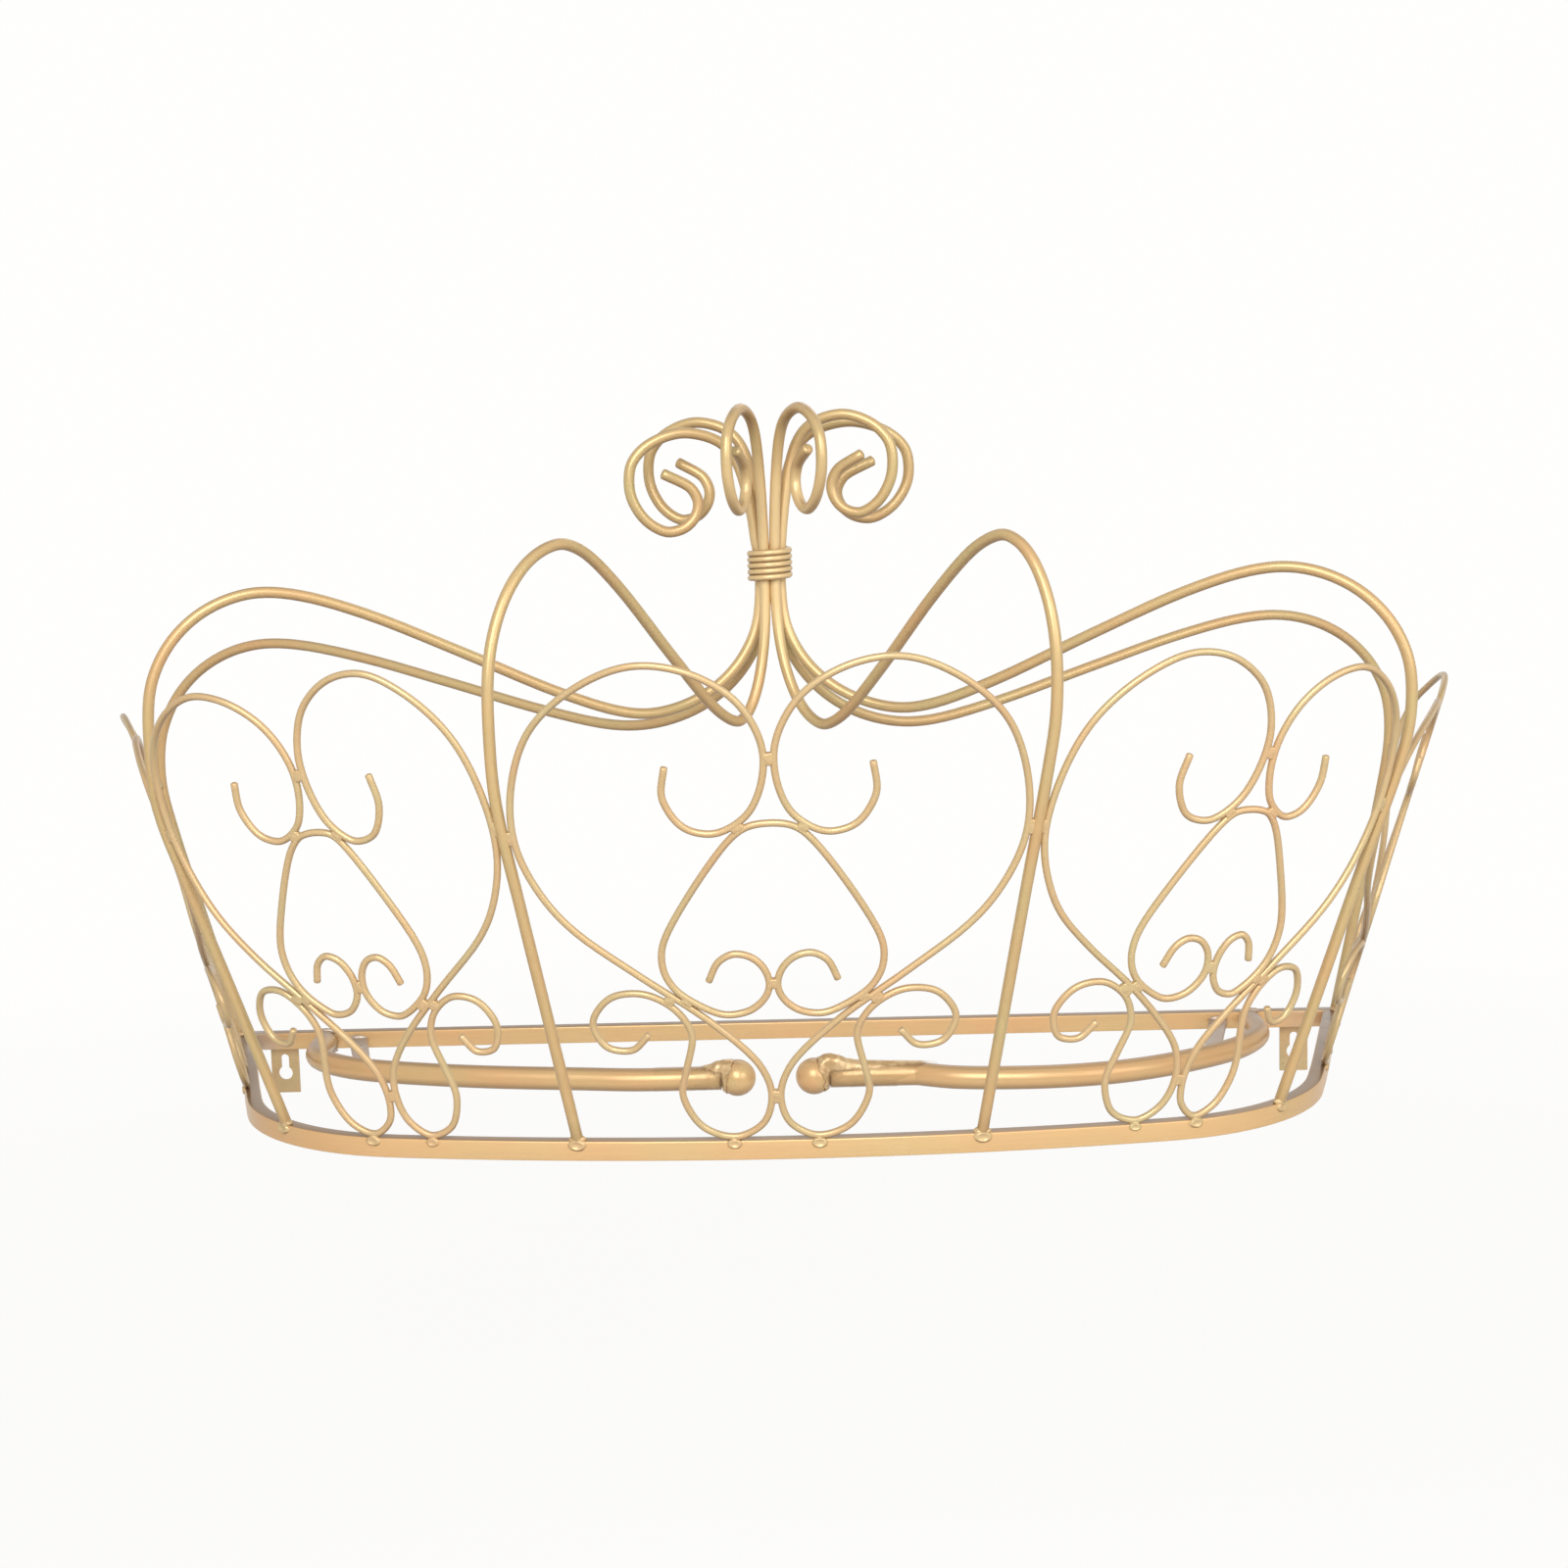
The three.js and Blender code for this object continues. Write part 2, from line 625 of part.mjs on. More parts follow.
// Keyhole plate, lying in the XY plane with its top edge at the origin
function plateGeometry() {
  const half = plateWidth / 2;
  const outline = new THREE.Shape([
    new THREE.Vector2(-half, 0),
    new THREE.Vector2(-half, -plateHeight),
    new THREE.Vector2(half, -plateHeight),
    new THREE.Vector2(half, 0),
  ]);
  const slotRadius = keyholeSlot / 2;
  const holeRadius = keyholeDiameter / 2;
  const slotTop = -keyholeMargin - slotRadius;
  const holeCentre = -keyholeMargin - keyholeLength + holeRadius;
  const neckAngle = Math.asin(slotRadius / holeRadius);
  const keyhole = new THREE.Path();
  keyhole.absarc(0, slotTop, slotRadius, 0, Math.PI, false);
  keyhole.absarc(0, holeCentre, holeRadius, Math.PI / 2 + neckAngle, Math.PI / 2 - neckAngle, false);
  keyhole.closePath();
  outline.holes.push(keyhole);
  const settings = { depth: plateThickness, bevelEnabled: false, curveSegments: arcSteps };
  return new THREE.ExtrudeGeometry(outline, settings);
}

for (const [sideName, side] of Object.entries(sides)) {
  const path = rodPath(sideName);
  const tubeSection = roundSection(rodRadius, tubeSides);
  tubeSection.holes.push(roundSection(rodBore / 2, tubeSides, THREE.Path));
  const settings = { steps: path.steps, extrudePath: path, bevelEnabled: false };
  addPiece(`curtain_rod_${sideName}`, new THREE.ExtrudeGeometry(tubeSection, settings), satinGold);

  const finial = addPiece(`ball_finial_${sideName}`, finialGeometry(), satinGold);
  finial.position.set(rodShift + side * ballCentre, -rodRun, 0);
  finial.rotation.z = (-side * Math.PI) / 2;

  const sleeve = addPiece(`film_sleeve_${sideName}`, sleeveGeometry(), clearFilm);
  sleeve.position.set(rodShift + side * rodTip, -rodRun, 0);
  sleeve.rotation.z = (-side * Math.PI) / 2;

  addPiece(`rod_strap_${sideName}`, strapGeometry(path, side), rubbedGold).position.z = -strapThickness / 2;

  const plate = addPiece(`keyhole_plate_${sideName}`, plateGeometry(), rubbedGold);
  plate.position.set(side * (wallHalfWidth - plateInset), 0, -barHeight / 2 - contactGap);
  plate.rotation.x = Math.PI / 2;
}

export default crown;
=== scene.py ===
"""A half-round bed crown of bent rod and scrolled wire, with curtain rods, welds and a plain studio."""

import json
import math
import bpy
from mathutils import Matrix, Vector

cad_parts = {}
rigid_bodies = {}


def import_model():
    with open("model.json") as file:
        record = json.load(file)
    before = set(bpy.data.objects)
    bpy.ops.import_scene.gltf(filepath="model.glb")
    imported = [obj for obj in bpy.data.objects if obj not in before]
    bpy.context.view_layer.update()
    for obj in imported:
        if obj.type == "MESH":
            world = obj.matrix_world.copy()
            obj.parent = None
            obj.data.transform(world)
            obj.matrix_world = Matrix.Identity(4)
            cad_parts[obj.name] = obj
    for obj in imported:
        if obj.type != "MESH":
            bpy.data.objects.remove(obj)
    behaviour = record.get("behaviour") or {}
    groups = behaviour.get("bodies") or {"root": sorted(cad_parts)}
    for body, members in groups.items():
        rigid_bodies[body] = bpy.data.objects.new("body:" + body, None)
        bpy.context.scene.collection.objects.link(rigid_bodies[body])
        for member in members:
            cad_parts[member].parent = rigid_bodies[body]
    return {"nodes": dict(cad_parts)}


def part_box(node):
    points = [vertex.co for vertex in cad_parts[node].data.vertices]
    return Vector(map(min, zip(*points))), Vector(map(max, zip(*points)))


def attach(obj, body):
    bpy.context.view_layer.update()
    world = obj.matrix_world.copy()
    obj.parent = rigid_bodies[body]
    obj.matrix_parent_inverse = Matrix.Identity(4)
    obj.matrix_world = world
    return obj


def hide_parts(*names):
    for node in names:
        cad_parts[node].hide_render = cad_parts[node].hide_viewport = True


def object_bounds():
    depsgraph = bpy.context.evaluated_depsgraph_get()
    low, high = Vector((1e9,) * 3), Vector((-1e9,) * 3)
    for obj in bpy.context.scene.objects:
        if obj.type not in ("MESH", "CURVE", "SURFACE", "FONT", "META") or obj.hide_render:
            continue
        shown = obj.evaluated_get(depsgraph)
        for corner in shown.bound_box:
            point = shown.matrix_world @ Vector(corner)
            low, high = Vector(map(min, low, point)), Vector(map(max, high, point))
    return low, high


bl_info = {
    "name": "Bed crown canopy",
    "version": (1, 0, 0),
    "blender": (4, 5, 0),
    "location": "View3D > Sidebar > Bed Crown",
    "description": "Builds a wall crown for a bed from its solid parts, with satin gold finishes",
    "category": "Add Mesh",
}

import bmesh
import bpy
from bpy.props import FloatProperty, FloatVectorProperty, IntProperty, PointerProperty
from mathutils import Matrix, Vector, kdtree, noise

for leftover in list(bpy.data.objects):
    bpy.data.objects.remove(leftover)
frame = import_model()
cad_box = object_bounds()

# Names of the parts, as the frame gives them
CROWN = "crown"
SIDES = {"left": -1, "right": 1}
RIBS = sorted(name for name in frame["nodes"] if name.startswith("rib_"))
SCROLLS = sorted(name for name in frame["nodes"] if "_heart_" in name or name.endswith("_pear"))

# Corners of one section of the frame's faceted bars and tubes
BAR_CORNERS = 6
TUBE_CORNERS = 20

# Turns of the wire round the bundle of ribs, and the smooth steps between two points of it
BINDING_TURNS = 5
BINDING_STEPS = 2

# Distance within which vertices of the frame are merged
MERGE_DISTANCE = 1e-5

# Distance within which a point counts as lying on the back wall or on the top of the band
TOUCH = 1e-4

# Cosine of the angle within which two faces count as one flat region
SAME_WAY = 1 - 1e-6

# Angles below which faces are joined into one, and above which an edge is eased or shaded sharp
FLAT_ANGLE = math.radians(1)
EASED_ANGLE = math.radians(30)
SHARP_ANGLE = math.radians(35)

# Edge radius of the straps and plates, as a share of that of the bars
FITTING_EDGE_SHARE = 0.7

# Length over which a bar's thickness varies, in radii
SWAY_LENGTH = 8

# Rings along a ball and sides of each
BALL_RINGS = 28
BALL_SIDES = 40


def height_of(name):
    """Height of a part of the frame."""
    low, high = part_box(name)
    return high[2] - low[2]


# Settings


def length_setting(name, description, default, least=0.0):
    """A length in metres."""
    return FloatProperty(name=name, description=description, default=default, min=least, unit="LENGTH")


def share_setting(name, description, default, most=1.0):
    """A number between 0 and its most."""
    return FloatProperty(name=name, description=description, default=default, min=0, max=most)


def amount_setting(name, description, default, least=0.0):
    """A number without an upper end."""
    return FloatProperty(name=name, description=description, default=default, min=least)


def colour_setting(name, description, default):
    """A colour."""
    return FloatVectorProperty(
        name=name, description=description, subtype="COLOR", default=default, min=0, max=1
    )


class CrownBarSettings(bpy.types.PropertyGroup):
    """Sizes and roundness of the rods, wires and bars."""

    rib_diameter: length_setting("Rib diameter", "Diameter of the rod of the ribs", 0.0063, 0.002)
    wire_diameter: length_setting(
        "Wire diameter", "Diameter of the wire of the hearts and pears", 0.0039, 0.001
    )
    binding_diameter: length_setting(
        "Binding diameter", "Diameter of the wire wound round the bundle", 0.0036, 0.001
    )
    tube_diameter: length_setting("Tube diameter", "Outer diameter of the curtain rods", 0.014, 0.004)
    tube_bore: length_setting("Tube bore", "Inner diameter of the curtain rods", 0.0119, 0.002)
    round_sides: IntProperty(name="Sides", description="Sides of a round section", default=20, min=8)
    steps_per_ring: IntProperty(
        name="Steps", description="Smooth steps between two rings of the faceted bar", default=5, min=1
    )
    edge_radius: length_setting(
        "Edge radius", "Radius of the eased edges of the band and the back bar", 0.0009
    )
    end_bulge_share: share_setting(
        "End bulge", "How far a cut end is rounded off, as a share of its radius", 0.45
    )
    unevenness: share_setting(
        "Unevenness", "How much the thickness of a hand-bent bar varies, as a share of its radius", 0.02, 0.2
    )


class CrownWeldSettings(bpy.types.PropertyGroup):
    """Sizes of the weld beads."""

    reach: length_setting("Weld reach", "Widest gap between two wires that is still welded", 0.0019)
    rib_reach: length_setting(
        "Rib weld reach", "Widest gap between a wire and a rib that is still welded", 0.0031
    )
    bead_length: length_setting("Bead length", "Half length of a bead between two wires", 0.0035, 0.0005)
    foot_bead: length_setting("Foot bead", "Half width of the bead under the foot of a rib", 0.0043, 0.0005)
    scroll_bead: length_setting("Scroll bead", "Half width of the bead under a heart", 0.0037, 0.0005)


class CrownFinishSettings(bpy.types.PropertyGroup):
    """Colours and gloss of the finishes."""

    satin_gold: colour_setting(
        "Satin gold", "Colour of the band, the bar, the curtain rods and the balls", (0.715, 0.475, 0.235)
    )
    rib_gold: colour_setting("Rib gold", "Colour of the ribs and the binding", (0.60, 0.43, 0.212))
    pale_gold: colour_setting(
        "Pale gold", "Colour of the scrolled wires and the hanging plates", (0.64, 0.468, 0.252)
    )
    # The shade colour is painted as shade on faces that look up or down, and in the gap at each rod's end
    shade_colour: colour_setting("Bronze", "Colour of the paint where it is darkest", (0.29, 0.175, 0.085))
    bare_steel: colour_setting(
        "Bare steel", "Colour where the gold is thin over the steel", (0.50, 0.415, 0.35)
    )
    film: colour_setting("Film", "Tint of the clear film", (0.72, 0.515, 0.28))
    roughness: share_setting("Roughness", "Roughness of the gold", 0.3)
    metallic: share_setting("Metallic", "How metallic the gold is", 0.25)
    specular: share_setting("Specular", "Strength of the paint's own gloss", 0.3)


class CrownStageSettings(bpy.types.PropertyGroup):
    """Camera, lamps and floor."""

    camera_place: FloatVectorProperty(
        name="Camera",
        description="Place of the camera",
        subtype="TRANSLATION",
        unit="LENGTH",
        default=(0.0319, -1.6187, 0.384),
    )
    camera_turn: FloatVectorProperty(
        name="Turn",
        description="Yaw, downward pitch and roll of the camera",
        subtype="EULER",
        default=(math.radians(-1.05), math.radians(7.894), math.radians(-1.523)),
    )
    lens: amount_setting("Lens", "Focal length in millimetres on a 36 mm sensor", 58.5, 10)
    floor_drop: length_setting(
        "Floor drop", "Distance from the lowest part of the crown down to the floor", 0.3
    )
    key_power: amount_setting(
        "Key light", "Power of the large soft lamp in front and above, in watts", 40
    )
    fill_power: amount_setting("Fill light", "Power of the soft lamp at the right, in watts", 14)
    back_power: amount_setting("Back light", "Power of the soft lamp behind and above, in watts", 5)
    room_light: amount_setting("Room light", "Strength of the even light of the room", 0.2)


SETTINGS = {
    "crown_bars": CrownBarSettings,
    "crown_welds": CrownWeldSettings,
    "crown_finish": CrownFinishSettings,
    "crown_stage": CrownStageSettings,
}


# Reading the frame


def merged_solid(name):
    """The solid of a part of the frame, with its shared vertices merged."""
    solid = bmesh.new()
    solid.from_mesh(frame["nodes"][name].data)
    bmesh.ops.remove_doubles(solid, verts=solid.verts, dist=MERGE_DISTANCE)
    solid.normal_update()
    return solid


def flat_region(face):
    """The vertices of the flat region round a face."""
    region = {face}
    waiting = [face]
    while waiting:
        for edge in waiting.pop().edges:
            for other in edge.link_faces:
                if other not in region and other.normal.dot(face.normal) > SAME_WAY:
                    region.add(other)
                    waiting.append(other)
    return {vert for member in region for vert in member.verts}


def layers_from(start, corners, total):
    """The rings of vertices that follow one after the other from an end, or None if it isn't an end."""
    layers = [start]
    seen = set(start)
    while True:
        following = {edge.other_vert(vert) for vert in layers[-1] for edge in vert.link_edges} - seen
        if not following:
            break
        if len(following) != corners:
            return None
        layers.append(following)
        seen |= following
    return layers if len(seen) == total else None


def centre_line(name, corners):
    """Centre line of a faceted bar of the frame, as one point for each ring of its vertices."""
    solid = merged_solid(name)
    total = len(solid.verts)
    for face in solid.faces:
        start = flat_region(face)
        if len(start) != corners:
            continue
        layers = layers_from(start, corners, total)
        if layers:
            line = [sum((vert.co for vert in layer), Vector()) / corners for layer in layers]
            solid.free()
            return line
    raise ValueError(f"{name} has no end with {corners} corners")


# Smooth lines


def smooth_line(points, steps):
    """A smooth curve through points, closer where they are closer, as a denser list."""
    first = points[0] * 2 - points[1]
    last = points[-1] * 2 - points[-2]
    padded = [first, *points, last]
    dense = []
    for before, start, end, after in zip(padded, padded[1:], padded[2:], padded[3:]):
        knots = [0]
        for one, other in ((before, start), (start, end), (end, after)):
            knots.append(knots[-1] + math.sqrt((other - one).length))
        for step in range(steps):
            t = knots[1] + (knots[2] - knots[1]) * step / steps
            dense.append(curve_point((before, start, end, after), knots, t))
    dense.append(points[-1].copy())
    return dense


def curve_point(corners, knots, t):
    """Point of a centripetal curve through four corners."""
    level = corners
    for span in (1, 2):
        level = [
            mix(one, other, (t - knots[i]) / (knots[i + span] - knots[i]))
            for i, (one, other) in enumerate(zip(level, level[1:]))
        ]
    return mix(level[0], level[1], (t - knots[1]) / (knots[2] - knots[1]))


def mix(one, other, share):
    """The place between two values at a share of the way."""
    return one * (1 - share) + other * share


def headings(line):
    """Unit direction of a line at each of its points."""
    ahead = line[1:] + line[-1:]
    behind = line[:1] + line[:-1]
    return [(after - before).normalized() for before, after in zip(behind, ahead)]


def carried_frames(line):
    """Two directions square to a line at each point, carried along it without twist."""
    directions = headings(line)
    side = directions[0].orthogonal().normalized()
    frames = [(side, directions[0].cross(side))]
    for before, after in zip(directions, directions[1:]):
        side = before.rotation_difference(after) @ side
        side = (side - after * side.dot(after)).normalized()
        frames.append((side, after.cross(side)))
    return directions, frames


# Building meshes


def new_piece(name, solid, material, slot, *nodes, body=CROWN):
    """Turn a bmesh into a smooth piece that rides on a body and stands for some nodes."""
    bmesh.ops.recalc_face_normals(solid, faces=solid.faces)
    mesh = bpy.data.meshes.new(name)
    solid.to_mesh(mesh)
    solid.free()
    mesh.shade_smooth()
    mesh.materials.append(material)
    piece = bpy.data.objects.new(name, mesh)
    bpy.context.scene.collection.objects.link(piece)
    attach(piece, body)
    if nodes:
        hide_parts(*nodes)
    return piece


def add_ring(solid, places):
    """Add a ring of vertices."""
    return [solid.verts.new(place) for place in places]


def join_rings(solid, one, other):
    """Close the strip of faces between two rings."""
    count = len(one)
    for i in range(count):
        solid.faces.new((one[i], one[(i + 1) % count], other[(i + 1) % count], other[i]))


def close_ring(solid, ring, centre):
    """Close a ring with a fan of faces."""
    middle = solid.verts.new(centre)
    count = len(ring)
    for i in range(count):
        solid.faces.new((ring[i], ring[(i + 1) % count], middle))


def round_ring(centre, across, up, radius, sides):
    """Places of a circle."""
    angles = (math.tau * i / sides for i in range(sides))
    return [centre + (across * math.cos(angle) + up * math.sin(angle)) * radius for angle in angles]


def round_bar(line, radius, settings, seed):
    """A solid round bar along a line, slightly uneven, with its cut ends rounded off."""
    solid = bmesh.new()
    directions, frames = carried_frames(line)
    sides = settings.round_sides
    rings = []
    distance = 0
    for i, (centre, (across, up)) in enumerate(zip(line, frames)):
        distance += (centre - line[i - 1]).length if i else 0
        sway = noise.noise(Vector((distance / (SWAY_LENGTH * radius), seed, 0))) * settings.unevenness
        rings.append(add_ring(solid, round_ring(centre, across, up, radius * (1 + sway), sides)))
    for one, other in zip(rings, rings[1:]):
        join_rings(solid, one, other)
    bulge = radius * settings.end_bulge_share
    for ring, centre, heading, (across, up) in (
        (rings[0], line[0], -directions[0], frames[0]),
        (rings[-1], line[-1], directions[-1], frames[-1]),
    ):
        before = ring
        for turn in (30, 60):
            angle = math.radians(turn)
            place = centre + heading * bulge * math.sin(angle)
            following = add_ring(solid, round_ring(place, across, up, radius * math.cos(angle), sides))
            join_rings(solid, before, following)
            before = following
        close_ring(solid, before, centre + heading * bulge)
    return solid


def round_tube(line, radius, bore, settings):
    """A hollow round tube along a line."""
    solid = bmesh.new()
    _, frames = carried_frames(line)
    skins = []
    for size in (radius, bore):
        rings = [
            add_ring(solid, round_ring(centre, across, up, size, settings.round_sides))
            for centre, (across, up) in zip(line, frames)
        ]
        for one, other in zip(rings, rings[1:]):
            join_rings(solid, one, other)
        skins.append(rings)
    for end in (0, -1):
        join_rings(solid, skins[0][end], skins[1][end])
    return solid


def eased_copy(name, width):
    """A copy of a flat part of the frame with its edges eased."""
    solid = merged_solid(name)
    bmesh.ops.dissolve_limit(solid, angle_limit=FLAT_ANGLE, verts=solid.verts, edges=solid.edges)
    sharp = [edge for edge in solid.edges if edge.is_manifold and edge.calc_face_angle() > EASED_ANGLE]
    bmesh.ops.bevel(
        solid, geom=sharp, offset=width, segments=3, profile=0.5, affect="EDGES", clamp_overlap=True
    )
    return solid


# Shader nodes, and node groups that more than one finish uses

# Noise values between which a patch of thin gold grows
PATCH_ENDS = (0.3, 0.6)


def node(tree, kind, **settings):
    """Add a node to a tree and set its values."""
    made = tree.nodes.new(kind)
    for key, value in settings.items():
        setattr(made, key, value)
    return made


def feed(tree, socket, value):
    """Link an output to a socket, or set the socket to a value."""
    if isinstance(value, bpy.types.NodeSocket):
        tree.links.new(value, socket)
    else:
        socket.default_value = value


def maths(tree, operation, *values):
    """A Math node fed with sockets or numbers, as its output."""
    made = node(tree, "ShaderNodeMath", operation=operation)
    for socket, value in zip(made.inputs, values):
        feed(tree, socket, value)
    return made.outputs[0]


def ranged(tree, value, low, high, least=0.0, most=1.0, kind="SMOOTHSTEP"):
    """Spread a value between two ends onto another range, smoothly or as asked, as an output."""
    spread = node(tree, "ShaderNodeMapRange", interpolation_type=kind)
    sockets = ("Value", "From Min", "From Max", "To Min", "To Max")
    for socket, given in zip(sockets, (value, low, high, least, most)):
        feed(tree, spread.inputs[socket], given)
    return spread.outputs[0]


def noise_texture(tree, place, scale, detail, distortion=0.0):
    """Noise at a place, as an output."""
    made = node(tree, "ShaderNodeTexNoise", noise_dimensions="3D")
    sockets = ("Vector", "Scale", "Detail", "Distortion")
    for socket, given in zip(sockets, (place, scale, detail, distortion)):
        feed(tree, made.inputs[socket], given)
    return made.outputs[0]


def object_place(tree):
    """The place on the object, whole and split along its axes, as outputs."""
    place = node(tree, "ShaderNodeTexCoord").outputs["Object"]
    parts = node(tree, "ShaderNodeSeparateXYZ")
    tree.links.new(place, parts.inputs[0])
    return place, parts.outputs


def new_group(name, inputs, outputs):
    """A shader node group with named numbers, the outputs that give them and the inputs of its results."""
    group = bpy.data.node_groups.new(name, "ShaderNodeTree")
    for socket, value in inputs.items():
        made = group.interface.new_socket(name=socket, in_out="INPUT", socket_type="NodeSocketFloat")
        made.default_value = value
    for socket in outputs:
        group.interface.new_socket(name=socket, in_out="OUTPUT", socket_type="NodeSocketFloat")
    return group, node(group, "NodeGroupInput").outputs, node(group, "NodeGroupOutput").inputs


def build_brushed_grain():
    """Fine streaks along a bar, and soft clouds of tone across it."""
    group, given, results = new_group(
        "brushed_grain", {"Grain Size": 0.0012, "Stretch": 30.0, "Cloud Size": 0.03}, ("Grain", "Clouds")
    )
    place, parts = object_place(group)
    long_scale = maths(group, "MULTIPLY", given["Grain Size"], given["Stretch"])
    squeezed = node(group, "ShaderNodeCombineXYZ")
    for axis, scale in (("X", long_scale), ("Y", long_scale), ("Z", given["Grain Size"])):
        group.links.new(maths(group, "DIVIDE", parts[axis], scale), squeezed.inputs[axis])
    grain = noise_texture(group, squeezed.outputs[0], 1.0, 3)
    clouds = noise_texture(group, place, maths(group, "DIVIDE", 1.0, given["Cloud Size"]), 2)
    group.links.new(grain, results["Grain"])
    group.links.new(clouds, results["Clouds"])
    return group


def build_thin_paint():
    """Mask of the places far out at the sides, near the wall, where the gold is thin."""
    group, given, results = new_group(
        "thin_paint", {"Start": 0.28, "Full": 0.34, "Depth": 0.2, "Patch Size": 0.012}, ("Mask",)
    )
    place, parts = object_place(group)
    reach = ranged(group, maths(group, "ABSOLUTE", parts["X"]), given["Start"], given["Full"])
    back = ranged(group, maths(group, "ABSOLUTE", parts["Y"]), given["Depth"], 0.0)
    patches = noise_texture(group, place, maths(group, "DIVIDE", 1.0, given["Patch Size"]), 4)
    spread = ranged(group, patches, *PATCH_ENDS, kind="LINEAR")
    placed = maths(group, "MULTIPLY", reach, back)
    group.links.new(maths(group, "MULTIPLY", placed, spread), results["Mask"])
    return group


def build_shade_by_facing():
    """Mask of the faces that look up or down, which are painted darker as painted shade."""
    group, given, results = new_group(
        "shade_by_facing",
        {"Upward": 1.0, "Upward From": 0.75, "Downward": 0.5, "Downward From": 0.2},
        ("Mask",),
    )
    surface = node(group, "ShaderNodeNewGeometry")
    parts = node(group, "ShaderNodeSeparateXYZ")
    group.links.new(surface.outputs["Normal"], parts.inputs[0])
    masks = []
    for sign, amount in ((1.0, "Upward"), (-1.0, "Downward")):
        rise = maths(group, "MULTIPLY", parts.outputs["Z"], sign)
        ramp = ranged(group, rise, given[f"{amount} From"], 1.0)
        masks.append(maths(group, "MULTIPLY", ramp, given[amount]))
    group.links.new(maths(group, "ADD", *masks), results["Mask"])
    return group


GROUP_BUILDERS = {
    "brushed_grain": build_brushed_grain,
    "thin_paint": build_thin_paint,
    "shade_by_facing": build_shade_by_facing,
}


def use_group(tree, name, **values):
    """Place a shared node group in a material with its own values, building it the first time."""
    made = node(tree, "ShaderNodeGroup", node_tree=bpy.data.node_groups.get(name) or GROUP_BUILDERS[name]())
    for socket, value in values.items():
        made.inputs[socket.replace("_", " ")].default_value = value
    return made


# Finishes

# Tints of the gold, as shares of its red, green and blue
ROSY_SHARES = (1.08, 0.89, 0.85)
GREENISH_SHARES = (0.94, 1.07, 1.03)
STREAK_SHARES = (0.86, 0.84, 0.8)
# Painted light: how much brighter the bundle of ribs is painted
PAINTED_LIGHT_SHARES = (1.25, 1.27, 1.31)
CREASE_SHARES = (0.78, 0.77, 0.75)
# Painted shade of the gap at the end of a rod, as shares of the shade colour
GAP_SHADE_SHARES = (0.6, 0.6, 0.6)

# The most that the bare steel shows through thin gold
BARE_SHARE = 0.9

# How far the roughness falls below its setting and rises above it
SMOOTHER = 0.07
ROUGHER = 0.1

# Height of the grain in metres, and the noise values between which a streak darkens
GRAIN_HEIGHT = 0.0003
STREAK_ENDS = (0.3, 0.7)

# Noise values between which a crease of the film grows, and the height of its wrinkles in metres
CREASE_ENDS = (0.42, 0.6)
WRINKLE_HEIGHT = 0.0005

# Distances from the rod's axis between which the film stands off as a fold, in metres
FOLD_ENDS = (0.0074, 0.009)

# The painted shade of the gap over the end of a rod, in metres: how far below the axis it lies, and the
# distances over which it fades up and down and to its sides
SEAM_DROP = 0.0015
SEAM_HEIGHTS = (0.0025, 0.0045)
SEAM_WIDTHS = (0.0002, 0.0006)

# How solid the creases and the painted shade line look, and the film's opacity where it is clear and where
# not
CREASE_OPACITY = 0.1
GAP_SHADE_OPACITY = 0.8
FILM_OPACITY = (0.1, 0.95)


def new_finish(name):
    """A material with its shader, ready for its own nodes."""
    material = bpy.data.materials.new(name)
    material.use_nodes = True
    tree = material.node_tree
    return material, tree, tree.nodes["Principled BSDF"]


def blend_colours(tree, mask, one, other, most=1.0):
    """Mix two colours or colour sockets by a mask."""
    mixer = node(tree, "ShaderNodeMix", data_type="RGBA")
    tree.links.new(maths(tree, "MULTIPLY", mask, most), mixer.inputs["Factor"])
    for socket, colour in ((mixer.inputs[6], one), (mixer.inputs[7], other)):
        feed(tree, socket, colour if isinstance(colour, bpy.types.NodeSocket) else (*colour, 1))
    return mixer.outputs[2]


def add_bumps(tree, shader, height, strength, distance):
    """Roughen a surface by a height."""
    bumps = node(tree, "ShaderNodeBump")
    for socket, given in (("Height", height), ("Strength", strength), ("Distance", distance)):
        feed(tree, bumps.inputs[socket], given)
    tree.links.new(bumps.outputs[0], shader.inputs["Normal"])


def tinted(colour, amounts):
    """A colour with each of its channels made lighter or darker."""
    return tuple(min(1, channel * amount) for channel, amount in zip(colour, amounts))


def painted_light_place(tree, half_width, low, high, ease):
    """Mask of the middle of the crown between two heights, which is painted brighter as painted light."""
    _, parts = object_place(tree)
    apart = maths(tree, "ABSOLUTE", parts["X"])
    beside = ranged(tree, apart, half_width, half_width + ease, 1.0, 0.0)
    above = ranged(tree, parts["Z"], low - ease, low)
    below = ranged(tree, parts["Z"], high, high + ease, 1.0, 0.0)
    return maths(tree, "MULTIPLY", maths(tree, "MULTIPLY", above, below), beside)


